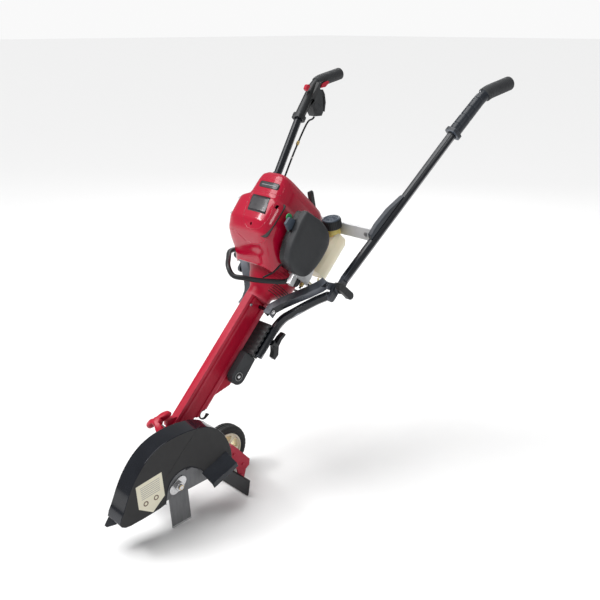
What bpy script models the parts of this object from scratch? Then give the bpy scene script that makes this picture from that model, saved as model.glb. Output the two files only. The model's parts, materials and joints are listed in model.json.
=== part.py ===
"""Wheeled lawn edger with a small four-stroke engine.

World frame: +Z up, the blade end faces -Y, the operator stands at +Y, and +X is the operator's left.
Lengths below are in millimetres and become metres when an object is made.
"""
import math

import bmesh
import bpy
from mathutils import Matrix, Vector
from mathutils.geometry import tessellate_polygon

MM = 0.001
GAP = 0.3

# The world's origin is midway between the two grips. The blade axis, this far below it and in front of it,
# is the reference for everything else.
BLADE_AXIS_UP = -813.0
BLADE_AXIS_FORWARD = 850.0
BEAM_TILT = 47.0

# Cutting head
BLADE_RADIUS = 102.0
BLADE_WIDTH = 50.8
BLADE_ARMS = 4
BLADE_REST_ANGLE = -86.0
BLADE_SIDE = 100.0
BLADE_THICKNESS = 3.0
GUARD_SHEET = 2.5
GUARD_INNER_SIDE = 60.3
GUARD_OUTER_SIDE = 111.0
SHAFT_RADIUS = 8.6

# Bevel gears at a right angle
GEAR_MODULE = 2.4
CROWN_TEETH = 20
PINION_TEETH = 10
GEAR_FACE = 8.0

# Wheel
WHEEL_BACK = 224.5
WHEEL_UP = -43.0
WHEEL_RADIUS = 61.0
WHEEL_SIDES = (-36.0, -4.0)
WHEEL_PIVOT = (85.0, -20.0)

# Cable clip under the beam
CLIP_CENTRE = (162.5, -47.0)
CLIP_RADIUS = 13.0

# Depth knob: where its screw meets the beam's front face, how it leans and how it is turned at rest
KNOB_ALONG = 88.0
KNOB_LEAN = 10.0
KNOB_TURN = math.radians(88)

# Main beam: its section across the beam and where it starts and ends
BEAM_FRONT = 20.0
BEAM_REAR = -44.0
BEAM_HALF_WIDTH = 11.0
BEAM_START = 45.0
BEAM_END = 462.0

# Handle
LUG_PIVOT = (280.0, -58.0)
STRUT_PIN = (450.0, -25.0)
FOLD_SIDE = 169.5
FOLD_BACK = 429.5
FOLD_UP = 375.0
COLLAR = (262.0, 711.0, 713.0)
BEND = (284.0, 797.0, 803.0)
GRIP_END = (286.0, 897.0, 823.0)
TUBE_RADIUS = 11.5
TUBE_BORE = 9.5
GRIP_RADIUS = 17.0
CROSSBAR_SHARE = 0.34

# Engine, by distance along and across the beam
CYLINDER_ALONG = 607.0
AIR_CLEANER_SIDE = 106.0
CAP_CENTRE = (85.0, 708.0, -12.0)
CAP_LEAN = 13.0

LOUVRES = 5

SMOOTH_ANGLE = math.radians(35)


def matrix_from_axes(x_axis, y_axis, z_axis, origin=(0, 0, 0)):
    """Matrix whose columns are the three axes and the origin."""
    matrix = Matrix.Identity(4)
    for column, axis in enumerate((x_axis, y_axis, z_axis, origin)):
        for row in range(3):
            matrix[row][column] = axis[row]
    return matrix


# A plate drawn in the side view: its outline is (back, up) or (along, across), its thickness is sideways.
SIDE_VIEW = matrix_from_axes((0, 1, 0), (0, 0, 1), (1, 0, 0))
# A plate drawn across the beam: its outline is (across, side), its thickness is along the beam.
END_VIEW = matrix_from_axes((0, 0, 1), (1, 0, 0), (0, 1, 0))

UPRIGHT = Matrix.Translation((0, -BLADE_AXIS_FORWARD, BLADE_AXIS_UP))
UPRIGHT_SIDE = UPRIGHT @ SIDE_VIEW
BEAM = UPRIGHT @ Matrix.Rotation(math.radians(BEAM_TILT), 4, "X")
BEAM_SIDE = BEAM @ SIDE_VIEW
BEAM_ACROSS = BEAM @ END_VIEW


def rest_point(side, back, up):
    """World point from its sideways place, distance behind and height above the blade axis."""
    return UPRIGHT @ Vector((side, back, up))


def beam_point(side, along, across):
    """World point from its sideways place, distance along the beam and across it (up and forward)."""
    return BEAM @ Vector((side, along, across))


def axis_frame(origin, direction, hint=(1, 0, 0)):
    """Frame at origin whose Z runs along direction and whose X is near the hint."""
    z_axis = Vector(direction).normalized()
    x_axis = (Vector(hint) - z_axis * z_axis.dot(Vector(hint))).normalized()
    return matrix_from_axes(x_axis, z_axis.cross(x_axis), z_axis, origin)


def circle(radius, count, centre=(0, 0), start=0.0):
    """Points of a circle, counter-clockwise."""
    return arc(centre, radius, start, start + 360.0 * (count - 1) / count, count)


def arc(centre, radius, start, end, count):
    """Points along an arc, both ends included; angles in degrees."""
    points = []
    for index in range(count):
        angle = math.radians(start + (end - start) * index / (count - 1))
        points.append((centre[0] + radius * math.cos(angle), centre[1] + radius * math.sin(angle)))
    return points


def capsule(first, first_radius, second, second_radius, count=8):
    """Outline of a link with two round ends."""
    heading = math.degrees(math.atan2(second[1] - first[1], second[0] - first[0]))
    points = arc(first, first_radius, heading + 90, heading + 270, count)
    return points + arc(second, second_radius, heading - 90, heading + 90, count)


def scaled(outline, factor, centre):
    """Outline shrunk or grown about a centre."""
    return [(centre[0] + (u - centre[0]) * factor, centre[1] + (v - centre[1]) * factor) for u, v in outline]


def superellipse(half_width, low, high, count, power=4.0):
    """Rounded rectangle between -half_width and half_width, and between low and high."""
    points = []
    middle = (low + high) / 2
    for index in range(count):
        angle = 2 * math.pi * (index + 0.5) / count
        cosine = math.cos(angle)
        sine = math.sin(angle)
        u = half_width * math.copysign(abs(cosine) ** (2 / power), cosine)
        v = (high - low) / 2 * math.copysign(abs(sine) ** (2 / power), sine)
        points.append((u, middle + v))
    return points


def add_rings(bm, rings, closed):
    """Skin of quads between rings of equal length; a ring of one point is a pole."""
    made = [[bm.verts.new(point) for point in ring] for ring in rings]
    pairs = list(zip(made, made[1:]))
    if closed:
        pairs.append((made[-1], made[0]))
    for first, second in pairs:
        count = max(len(first), len(second))
        for index in range(count):
            following = (index + 1) % count
            corners = [first[index % len(first)], first[following % len(first)]]
            corners += [second[following % len(second)], second[index % len(second)]]
            unique = list(dict.fromkeys(corners))
            bm.faces.new(unique)
    return made


def revolve(bm, frame, profile, segments=20):
    """Turned body from (radius, height) points: pole to pole, or a closed ring profile."""
    rings = []
    for radius, height in profile:
        if radius == 0:
            rings.append([frame @ Vector((0, 0, height))])
        else:
            rings.append([frame @ Vector((u, v, height)) for u, v in circle(radius, segments)])
    add_rings(bm, rings, closed=profile[0][0] != 0)
    return bm


def plate(bm, frame, outline, low, high, holes=()):
    """Flat body with straight holes between two heights of the frame."""
    loops = [list(outline)] + [list(hole) for hole in holes]
    flat = [[Vector((u, v, 0)) for u, v in loop] for loop in loops]
    triangles = tessellate_polygon(flat)
    layers = []
    for height in (low, high):
        layers.append([[bm.verts.new(frame @ Vector((u, v, height))) for u, v in loop] for loop in loops])
    for layer in layers:
        flat_verts = [vert for loop in layer for vert in loop]
        for triangle in triangles:
            bm.faces.new([flat_verts[index] for index in triangle])
    for lower, upper in zip(*layers):
        for index in range(len(lower)):
            following = (index + 1) % len(lower)
            bm.faces.new([lower[index], lower[following], upper[following], upper[index]])
    return bm


def loft(bm, rings):
    """Body through rings of equal length, closed by flat ends."""
    made = add_rings(bm, rings, closed=False)
    bm.faces.new(made[0])
    bm.faces.new(made[-1])
    return bm


def cup(bm, outer, inner):
    """Thin-walled cup: outer rings run from the rim to the closed end, and so do the inner rings."""
    outer_made = add_rings(bm, outer, closed=False)
    inner_made = add_rings(bm, inner, closed=False)
    bm.faces.new(outer_made[-1])
    bm.faces.new(inner_made[-1])
    rim_out = outer_made[0]
    rim_in = inner_made[0]
    for index in range(len(rim_out)):
        following = (index + 1) % len(rim_out)
        bm.faces.new([rim_out[index], rim_out[following], rim_in[following], rim_in[index]])
    return bm


def sweep(bm, points, section, bore=None, up=(0, 0, 1)):
    """Section (u, v) carried along points, its v kept near up; an optional bore makes it a pipe."""
    tangents = []
    for index in range(len(points)):
        before = points[max(index - 1, 0)]
        after = points[min(index + 1, len(points) - 1)]
        tangents.append((after - before).normalized())

    def rings_of(outline):
        rings = []
        for point, tangent in zip(points, tangents):
            u_axis = tangent.cross(Vector(up)).normalized()
            v_axis = u_axis.cross(tangent)
            rings.append([point + u_axis * u + v_axis * v for u, v in outline])
        return rings

    if bore:
        add_rings(bm, rings_of(section) + rings_of(bore)[::-1], closed=True)
    else:
        loft(bm, rings_of(section))
    return bm


def smooth_path(points, steps):
    """Catmull-Rom curve through the points."""
    padded = [points[0] * 2 - points[1]] + list(points) + [points[-1] * 2 - points[-2]]
    path = []
    for index in range(1, len(padded) - 2):
        p0, p1, p2, p3 = padded[index - 1:index + 3]
        for step in range(steps):
            t = step / steps
            path.append(0.5 * (2 * p1 + (p2 - p0) * t + (2 * p0 - 5 * p1 + 4 * p2 - p3) * t * t
                               + (3 * p1 - p0 - 3 * p2 + p3) * t ** 3))
    path.append(points[-1].copy())
    return path


def rounded_corner(before, corner, after, reach, steps):
    """Points that turn a corner on a smooth curve starting and ending at reach from it."""
    start = corner + (before - corner).normalized() * reach
    end = corner + (after - corner).normalized() * reach
    points = []
    for step in range(steps + 1):
        t = step / steps
        points.append(start * (1 - t) ** 2 + corner * (2 * t * (1 - t)) + end * t * t)
    return points


def make_material(name, colour, roughness, metallic):
    """Principled material with one colour."""
    material = bpy.data.materials.new(name)
    material.use_nodes = True
    shader = material.node_tree.nodes["Principled BSDF"]
    shader.inputs["Base Color"].default_value = (*colour, 1.0)
    shader.inputs["Roughness"].default_value = roughness
    shader.inputs["Metallic"].default_value = metallic
    material.diffuse_color = (*colour, 1.0)
    return material


FINISHES = {
    "red_paint": ((0.45, 0.012, 0.03), 0.35, 0.0),
    "red_gloss": ((0.42, 0.006, 0.02), 0.15, 0.0),
    "red_plastic": ((0.62, 0.01, 0.04), 0.35, 0.0),
    "guard_black": ((0.02, 0.022, 0.026), 0.3, 0.0),
    "black_tube": ((0.02, 0.022, 0.028), 0.35, 0.0),
    "black_plastic": ((0.025, 0.026, 0.028), 0.5, 0.0),
    "black_rubber": ((0.02, 0.02, 0.02), 0.8, 0.0),
    "grey_rubber": ((0.06, 0.06, 0.065), 0.75, 0.0),
    "slate_plastic": ((0.07, 0.085, 0.1), 0.45, 0.0),
    "charcoal_plastic": ((0.035, 0.037, 0.038), 0.55, 0.0),
    "cream_plastic": ((0.8, 0.74, 0.58), 0.4, 0.0),
    "blade_steel": ((0.09, 0.09, 0.095), 0.45, 0.9),
    "bright_steel": ((0.6, 0.6, 0.58), 0.3, 1.0),
    "cast_aluminium": ((0.5, 0.5, 0.5), 0.45, 1.0),
    "tyre_rubber": ((0.018, 0.018, 0.018), 0.85, 0.0),
}


def add_object(name, bm, finish, pivot=None):
    """Object from a mesh in world millimetres, with its origin at the pivot."""
    bmesh.ops.recalc_face_normals(bm, faces=bm.faces)
    origin = Matrix.Translation(pivot) if pivot is not None else Matrix.Identity(4)
    bm.transform(Matrix.Scale(MM, 4) @ origin.inverted())
    mesh = bpy.data.meshes.new(name)
    bm.to_mesh(mesh)
    bm.free()
    mesh.shade_smooth()
    mesh.set_sharp_from_angle(angle=SMOOTH_ANGLE)
    mesh.materials.append(MATERIALS[finish])
    body = bpy.data.objects.new(name, mesh)
    body.location = origin.translation * MM
    bpy.context.scene.collection.objects.link(body)
    return body


def combine(body, bm, operation):
    """Join to a body, or cut from it, the shape in bm."""
    tool = add_object(body.name + "_guide", bm, "black_plastic")
    tool.hide_render = True
    tool.display_type = "WIRE"
    modifier = body.modifiers.new(operation.lower(), "BOOLEAN")
    modifier.operation = operation
    modifier.solver = "EXACT"
    modifier.object = tool


def join(body, bm):
    """Union."""
    combine(body, bm, "UNION")


def cut(body, bm):
    """Difference."""
    combine(body, bm, "DIFFERENCE")


def rod(frame, radius, low, high, segments=16):
    """Plain round bar along the frame's Z."""
    return revolve(bmesh.new(), frame, [(0, low), (radius, low), (radius, high), (0, high)], segments)


def ring_profile(outer, inner, low, high):
    """Closed profile of a plain ring."""
    return [(outer, low), (outer, high), (inner, high), (inner, low)]


def shifted(frame, u, v):
    """Frame moved in its own plane."""
    return frame @ Matrix.Translation((u, v, 0))


# ---------------------------------------------------------------- gears

def bevel_gear(bm, frame, teeth, pitch_angle, bore, hub_radius, back_height, front_height, phase):
    """Straight bevel gear whose cone's tip is the frame's origin; heights run along the frame's Z."""
    cone_length = GEAR_MODULE * math.hypot(CROWN_TEETH, PINION_TEETH) / 2
    tip_angle = pitch_angle + math.atan(0.95 * GEAR_MODULE / cone_length)
    root_angle = pitch_angle - math.atan(1.25 * GEAR_MODULE / cone_length)
    step = 2 * math.pi / teeth
    tooth = ((-0.29, root_angle), (-0.10, tip_angle), (0.10, tip_angle), (0.29, root_angle))
    rings = {}
    for label, length in (("large", cone_length), ("small", cone_length - GEAR_FACE)):
        ring = []
        for index in range(teeth):
            for share, cone in tooth:
                angle = phase + step * (index + share)
                radius = length * math.sin(cone)
                height = length * math.cos(cone)
                ring.append(frame @ Vector((radius * math.cos(angle), radius * math.sin(angle), height)))
        rings[label] = ring

    def round_ring(radius, height):
        ring = []
        for index in range(teeth):
            for share, _ in tooth:
                angle = phase + step * (index + share)
                ring.append(frame @ Vector((radius * math.cos(angle), radius * math.sin(angle), height)))
        return ring

    order = [round_ring(bore, front_height), rings["small"], rings["large"]]
    order += [round_ring(hub_radius, back_height), round_ring(bore, back_height)]
    add_rings(bm, order, closed=True)
    return bm


def make_gears():
    """Crown gear on the blade shaft and pinion on the drive shaft."""
    crown_angle = math.atan2(CROWN_TEETH, PINION_TEETH)
    # The crown gear's axis points to -X; its local X is the beam's direction, where the gears meet.
    along = (BEAM.to_3x3() @ Vector((0, 1, 0))).normalized()
    hub = rest_point(0, 0, 0)
    crown_frame = axis_frame(hub, (-1, 0, 0), along)
    half_step = math.pi / CROWN_TEETH
    crown = bevel_gear(bmesh.new(), crown_frame, CROWN_TEETH, crown_angle, 6.8, 20.0, 17.8, 9.5, half_step)
    add_object("crown_gear", crown, "bright_steel", hub)
    pinion_frame = axis_frame(hub, along, (-1, 0, 0))
    pinion = bevel_gear(bmesh.new(), pinion_frame, PINION_TEETH, math.pi / 2 - crown_angle, 4.3, 8.0, 33.5,
                        17.0, 0)
    add_object("pinion_gear", pinion, "bright_steel", hub)


# ---------------------------------------------------------------- cutting head

def make_gear_case():
    """Gear case with its neck on the beam, its cover and the blade shaft's bearing."""
    body = revolve(bmesh.new(), UPRIGHT_SIDE,
                   [(0, -18.5), (33, -18.5), (33, 20), (27, 24), (20, 27), (18, 53), (26, 55), (26, 60),
                    (0, 60)], 24)
    case = add_object("gear_case", body, "cast_aluminium")
    neck = plate(bmesh.new(), BEAM_ACROSS, [(-40, -17.2), (20, -17.2), (20, 17.2), (-40, 17.2)], 15.5, 44.6)
    join(case, neck)
    cavity = revolve(bmesh.new(), UPRIGHT_SIDE,
                     [(0, -25), (27.6, -25), (27.6, 14.5), (14.5, 14.5), (14.5, 27), (9.4, 27), (9.4, 65),
                      (0, 65)], 20)
    cut(case, cavity)
    cut(case, rod(BEAM_ACROSS, 13.6, 5, 50, 20))

    cover = revolve(bmesh.new(), UPRIGHT_SIDE,
                    [(0, -34), (27, -34), (33, -30), (33, -18.8), (12.6, -18.8), (12.6, -28.5), (0, -28.5)], 22)
    add_object("gear_case_cover", cover, "cast_aluminium")

    bearing = revolve(bmesh.new(), UPRIGHT_SIDE, ring_profile(14.1, 9.0, 15, 26.5), 20)
    add_object("blade_shaft_bearing", bearing, "bright_steel")


def make_blade():
    """Blade shaft, four-armed blade, oval flange and nut."""
    hub = rest_point(0, 0, 0)
    inner_face = BLADE_SIDE - BLADE_THICKNESS / 2
    outer_face = BLADE_SIDE + BLADE_THICKNESS / 2
    shaft = revolve(bmesh.new(), UPRIGHT_SIDE,
                    [(0, -27), (6.5, -27), (6.5, -5), (SHAFT_RADIUS, -5), (SHAFT_RADIUS, 90), (15, 91),
                     (15, inner_face - GAP), (6, inner_face - GAP), (6, 117), (4.8, 118), (0, 118)], 20)
    add_object("blade_shaft", shaft, "bright_steel", hub)

    half = BLADE_WIDTH / 2
    outline = []
    for arm in range(BLADE_ARMS):
        turn = math.radians(BLADE_REST_ANGLE + arm * 360 / BLADE_ARMS)
        for along, across in ((half, -half), (BLADE_RADIUS, -half), (BLADE_RADIUS, half)):
            outline.append((along * math.cos(turn) - across * math.sin(turn),
                            along * math.sin(turn) + across * math.cos(turn)))
    blade = plate(bmesh.new(), UPRIGHT_SIDE, outline, inner_face, outer_face, [circle(6.4, 16)])
    add_object("blade", blade, "blade_steel", hub)

    flange_turn = Matrix.Rotation(math.radians(33), 4, "Z")
    flange_low = outer_face + GAP
    flange = plate(bmesh.new(), UPRIGHT_SIDE @ flange_turn, capsule((-12, 0), 12.5, (12, 0), 12.5, 9),
                   flange_low, flange_low + 2.6, [circle(6.4, 16)])
    add_object("blade_flange", flange, "bright_steel", hub)
    nut_low = flange_low + 2.6 + GAP
    nut = plate(bmesh.new(), UPRIGHT_SIDE, circle(11, 6), nut_low, nut_low + 8, [circle(6.4, 12)])
    add_object("blade_nut", nut, "bright_steel", hub)


# Rim of the guard as (angle, radius) about the blade axis, from the rear over the top to the front.
GUARD_RIM = ((3, 146.5), (11, 148.5), (20, 149.5), (32, 149.5), (43, 148), (52, 144), (62, 137.5), (73, 130.5),
             (84, 126), (95, 124), (107, 123.5), (120, 123.5), (133, 123.5), (146, 124.5), (157, 127),
             (167, 131),
             (175, 136), (181, 142), (186, 150))


def guard_rim(inset=0.0):
    """Points of the guard's rim."""
    points = []
    for degrees, radius in GUARD_RIM:
        angle = math.radians(degrees)
        points.append(((radius - inset) * math.cos(angle), (radius - inset) * math.sin(angle)))
    return points


def make_guard():
    """Blade guard of bent sheet and its discharge chute."""
    face = guard_rim() + [(-153, -28), (-149, -35), (-140, -40), (-127, -41), (-93, -38), (-55, -32.5),
                          (-39, -28),
                          (-36, -10), (-30, 11), (-20, 25), (-6, 34), (10, 38.5), (29, 37), (45, 28),
                          (60, 17), (66, 8), (146, 3)]
    guard = add_object("blade_guard", plate(bmesh.new(), UPRIGHT_SIDE, face, GUARD_INNER_SIDE,
                       GUARD_OUTER_SIDE),
                       "guard_black")
    hollow = guard_rim(GUARD_SHEET)[1:-1] + [(-136, -80), (146, -70)]
    cut(guard, plate(bmesh.new(), UPRIGHT_SIDE, hollow, GUARD_INNER_SIDE - 5, GUARD_OUTER_SIDE - GUARD_SHEET))
    back = guard_rim(0.6)[:-2] + [(-145, -24), (-155, -38), (-162, -48), (-158, -54), (-132, -58), (-60, -46),
                                  (40, -40), (100, -20)]
    join(guard, plate(bmesh.new(), UPRIGHT_SIDE, back, GUARD_INNER_SIDE, GUARD_INNER_SIDE + GUARD_SHEET,
                      [circle(11, 20)]))

    slope = math.radians(22)
    direction = (0, math.cos(slope), math.sin(slope))
    chute_frame = axis_frame(rest_point(0, 59.5, 9.5), direction)
    profile = [(111.4, 0), (140, 22), (140, 34), (137.4, 34), (137.4, 23.3), (111.4, 3.2)]
    chute = plate(bmesh.new(), chute_frame, profile, 0, 75)
    add_object("discharge_chute", chute, "guard_black")


# ---------------------------------------------------------------- frame

def knob_frame():
    """Frame on the beam's front face whose Z is the knob's screw."""
    lean = Matrix.Rotation(-math.radians(KNOB_LEAN), 4, "X")
    return BEAM @ Matrix.Translation((0, KNOB_ALONG, BEAM_FRONT)) @ lean


def make_beam():
    """Hollow main beam with its handle lug, knob boss and cross holes."""
    width = BEAM_HALF_WIDTH
    groove = width - 1.5
    web = width - 3
    half_section = [(BEAM_REAR, width), (BEAM_REAR + 13, width), (BEAM_REAR + 14, web), (BEAM_FRONT - 19, web),
                    (BEAM_FRONT - 18, width), (BEAM_FRONT - 13, width), (BEAM_FRONT - 12, groove),
                    (BEAM_FRONT - 8, groove), (BEAM_FRONT - 7, width), (BEAM_FRONT, width)]
    section = half_section + [(across, -side) for across, side in reversed(half_section)]
    bore = [(-24, -5.5), (10, -5.5), (10, 5.5), (-24, 5.5)]
    beam = add_object("main_beam", plate(bmesh.new(), BEAM_ACROSS, section, BEAM_START, BEAM_END, [bore]),
                      "red_paint")
    lug = [(205, -40), (218, -48), (254, -71)] + arc(LUG_PIVOT, 15, -120, 20, 6) + [(300, -40)]
    join(beam, plate(bmesh.new(), BEAM_SIDE, lug, -9, 9))
    wedge = [(96, 18), (126, 18), (126, 21), (118, 29), (106, 37), (97, 30)]
    join(beam, plate(bmesh.new(), BEAM_SIDE, wedge, -7, 7))
    cut(beam, rod(knob_frame(), 4.6, -12, 20, 12))
    cut(beam, rod(shifted(BEAM_SIDE, *LUG_PIVOT), 5.4, -20, 20, 12))
    cut(beam, rod(shifted(BEAM_SIDE, *STRUT_PIN), 4.4, -30, 30, 12))
    cut(beam, rod(shifted(BEAM_SIDE, *WHEEL_PIVOT), 4.4, -30, 30, 12))
    cut(beam, rod(shifted(BEAM_SIDE, *CLIP_CENTRE), CLIP_RADIUS + GAP, -30, 30, 20))
    below = [(CLIP_CENTRE[0], BEAM_REAR - 1), (CLIP_CENTRE[0] - 9, CLIP_CENTRE[1] + 9), (145, -28),
             (BEAM_START - 5, -28), (BEAM_START - 5, BEAM_REAR - 1)]
    cut(beam, plate(bmesh.new(), BEAM_SIDE, below, -30, 30))

    clip = arc(CLIP_CENTRE, CLIP_RADIUS, 20, 250, 14)
    clip += [(CLIP_CENTRE[0] + 8, CLIP_CENTRE[1] - 15), (CLIP_CENTRE[0] + 6, CLIP_CENTRE[1] - 7.6)]
    clip += arc(CLIP_CENTRE, CLIP_RADIUS - 3.2, 250, 20, 14)
    add_object("beam_clip", plate(bmesh.new(), BEAM_SIDE, clip, 4, 10), "black_plastic")


def make_depth_knob():
    """Three-lobed knob with its screw, which turns about the screw's axis."""
    frame = knob_frame()
    count = 36

    def lobed(base, lobe, height, droop=0.0):
        ring = []
        for index in range(count):
            angle = 2 * math.pi * index / count
            share = max(0.0, math.cos(3 * angle)) ** 0.7
            radius = base + lobe * share
            turn = angle + KNOB_TURN
            ring.append(frame @ Vector((radius * math.cos(turn), radius * math.sin(turn),
                                       height - droop * share)))
        return ring

    rings = [lobed(4, 0, -8), lobed(4, 0, 28), lobed(8, 0, 28.5), lobed(10, 19, 30, 6), lobed(12, 25, 34, 9),
             lobed(12, 23, 41, 8), lobed(8, 10, 46, 4)]
    add_object("depth_knob", loft(bmesh.new(), rings), "red_plastic", frame.translation)


def make_wheel():
    """Wheel with its axle, and the hinged bracket that carries it and the rubber flap."""
    low, high = WHEEL_SIDES
    centre = rest_point((low + high) / 2, WHEEL_BACK, WHEEL_UP)
    frame = shifted(UPRIGHT_SIDE, WHEEL_BACK, WHEEL_UP)
    radius = WHEEL_RADIUS
    tyre = [(42, low + 2), (50, low), (radius - 4, low + 1), (radius, low + 6), (radius, high - 6),
            (radius - 4, high - 1), (50, high), (42, high - 2)]
    add_object("wheel_tyre", revolve(bmesh.new(), frame, tyre, 28), "tyre_rubber", centre)
    openings = []
    for spoke in range(5):
        middle = 90 + spoke * 72
        openings.append(arc((0, 0), 34, middle - 27, middle + 27, 6) + arc((0, 0), 16, middle + 18,
                            middle - 18, 4))
    hub = plate(bmesh.new(), frame, circle(41.6, 30), low + 4, high - 4, [circle(6.4, 16)] + openings)
    add_object("wheel_hub", hub, "cream_plastic", centre)

    pivot = beam_point(0, *WHEEL_PIVOT)
    tilt = math.radians(BEAM_TILT)
    pivot_back = WHEEL_PIVOT[0] * math.cos(tilt) - WHEEL_PIVOT[1] * math.sin(tilt)
    pivot_up = WHEEL_PIVOT[0] * math.sin(tilt) + WHEEL_PIVOT[1] * math.cos(tilt)
    arm = capsule((pivot_back, pivot_up), 13, (WHEEL_BACK, WHEEL_UP), 14)
    holes = [circle(6.4, 12, (WHEEL_BACK, WHEEL_UP))]
    bracket = add_object("wheel_bracket", plate(bmesh.new(), UPRIGHT_SIDE, arm, 19.5, 24.5, holes),
                         "red_paint", pivot)
    cheek = [(166, 20), (186, 12), (234, -42), (232, -58), (222, -64), (214, -90), (200, -92), (196, -58),
             (178, -30)]
    join(bracket, plate(bmesh.new(), UPRIGHT_SIDE, cheek, 64, 68))
    join(bracket, rod(shifted(UPRIGHT_SIDE, pivot_back, pivot_up), 4, -16, 30, 12))
    join(bracket, rod(shifted(UPRIGHT_SIDE, pivot_back, pivot_up), 8, 23, 31, 12))
    bridge = [(166, 20), (186, 12), (234, -42), (230.5, -44.5), (184, 8), (165, 16)]
    join(bracket, plate(bmesh.new(), UPRIGHT_SIDE, bridge, 20, 67))

    cut(bracket, rod(frame, 12, 24.7, 45, 16))
    cut(bracket, rod(frame, 6.4, 15, 30, 16))

    flap = [(187, -62), (192, -62), (186, -100), (181, -100)]
    add_object("rubber_flap", plate(bmesh.new(), UPRIGHT_SIDE, flap, 3, 120), "black_rubber", pivot)
    axle = [(0, low - 6), (9, low - 6), (9, low - 1), (6, low - 1), (6, high - 3), (9, high - 3), (9, 19.2),
            (6, 19.2), (6, 24.8), (9, 24.8), (9, 31), (0, 31)]
    add_object("wheel_axle", revolve(bmesh.new(), frame, axle, 14), "bright_steel", centre)


# ---------------------------------------------------------------- handle

def fold_point():
    """Middle of the axis about which the upper handles fold."""
    return rest_point(0, FOLD_BACK, FOLD_UP)


def fold_place():
    """The fold axis by its distances along and across the beam."""
    local = BEAM.inverted() @ fold_point()
    return local.y, local.z


def make_handle_mount():
    """Ribbed saddle behind the beam, the yoke that hangs it on the beam, and the lock lever."""
    front = BEAM_REAR - GAP
    ledge = front - 6
    saddle = [(-76, -38), (-76, 38), (ledge, 38), (ledge, 53), (front, 53), (front, -53), (ledge, -53),
              (ledge, -38)]
    add_object("handle_mount", plate(bmesh.new(), BEAM_ACROSS, saddle, 338, 430), "black_plastic")
    outline = arc(LUG_PIVOT, 20.5, 80, 270, 13) + [(337.6, -75), (337.6, -37)]
    yoke = add_object("link_yoke", plate(bmesh.new(), BEAM_SIDE, outline, 16, 36), "slate_plastic")
    join(yoke, plate(bmesh.new(), BEAM_SIDE, outline, -36, -16))
    join(yoke, rod(shifted(BEAM_SIDE, *LUG_PIVOT), 5, -35, 35, 14))
    web = [(306, -73), (336, -73), (336, -62), (306, -62)]
    join(yoke, plate(bmesh.new(), BEAM_SIDE, web, -20, 20))
    for low, high in ((34.5, 50), (-50, -34.5)):
        cut(yoke, rod(shifted(BEAM_SIDE, *LUG_PIVOT), 11, low, high, 18))

    hub = (391, -88)
    pivot = beam_point(52, *hub)
    lever = add_object("lock_lever", rod(BEAM @ Matrix.Translation((52, hub[0], 0)), 8, -95, -77.6, 14),
                       "black_plastic", pivot)
    blade = [(384, -86), (412, -88), (428, -93), (427, -100), (410, -97), (394, -99), (376, -113), (361, -111),
             (362, -102), (374, -96)]
    join(lever, plate(bmesh.new(), BEAM_SIDE, blade, 45, 59))


def make_lower_handle():
    """Lower tubes from the saddle to the fold clamps, and the struts beside the engine."""
    along, across = fold_place()
    up = BEAM.to_3x3() @ Vector((0, 0, 1))
    strut_pin = rod(shifted(BEAM_SIDE, *STRUT_PIN), 4, -52, 52, 12)
    struts = add_object("struts", strut_pin, "black_tube")
    for name, side in (("lower_tube_left", 1), ("lower_tube_right", -1)):
        route = [beam_point(side * x, a, c) for x, a, c in
                 ((50, 343, -64), (50, 380, -64), (52, 420, -63), (62, 451, -61), (80, 472, -60),
                 (122, 517, -60),
                  (155, 544, -59.5))]
        pipe = sweep(bmesh.new(), smooth_path(route, 2), circle(11, 8), circle(9, 8), up=up)
        tube = add_object(name, pipe, "black_tube")
        eye = capsule((540, -59.4), 10, (along, across), 12)
        low, high = sorted((side * 160.2, side * 168.6))
        join(tube, plate(bmesh.new(), BEAM_SIDE, eye, low, high, [circle(4.4, 12, (along, across))]))
        path = [beam_point(side * x, a, c) for x, a, c in
                ((47, 439, -25), (47, 458, -27), (60, 480, -33), (80, 503, -38), (110, 527, -38.3),
                (136, 551, -38.3),
                 (146, 566, -38.3))]
        channel = [(-10, -10), (-10, 10), (10, 10), (10, -10), (7.5, -10), (7.5, 7.5), (-7.5, 7.5), (-7.5, -10)]
        join(struts, sweep(bmesh.new(), path, channel, up=up))
        low, high = sorted((side * 154.9, side * 159.7))
        tab = capsule((560, -42), 9, (along, across), 9)
        join(struts, plate(bmesh.new(), BEAM_SIDE, tab, low, high, [circle(4.4, 12, (along, across))]))
        bridge = [(556, -38), (566, -38), (566, -31), (556, -31)]
        low, high = sorted((side * 140, side * 158))
        join(struts, plate(bmesh.new(), BEAM_SIDE, bridge, low, high))


def upper_route(side):
    """Centre line of an upper tube, from the fold clamp to the end of the grip."""
    fold = rest_point(side * FOLD_SIDE, FOLD_BACK, FOLD_UP)
    collar = rest_point(side * COLLAR[0], COLLAR[1], COLLAR[2])
    bend = rest_point(side * BEND[0], BEND[1], BEND[2])
    end = rest_point(side * GRIP_END[0], GRIP_END[1], GRIP_END[2])
    start = fold + (collar - fold).normalized() * 24
    return [start, collar] + rounded_corner(collar, bend, end, 28, 4) + [end]


def along_route(route, start, end):
    """Part of a centre line between two distances measured from its first point."""
    points = []
    walked = 0.0
    for first, second in zip(route, route[1:]):
        length = (second - first).length
        if start > walked and start <= walked + length:
            points.append(first.lerp(second, (start - walked) / length))
        elif walked >= start and walked < end:
            points.append(first.copy())
        if end > walked and end <= walked + length:
            points.append(first.lerp(second, (end - walked) / length))
            return points
        walked += length
    points.append(route[-1].copy())
    return points


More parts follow.
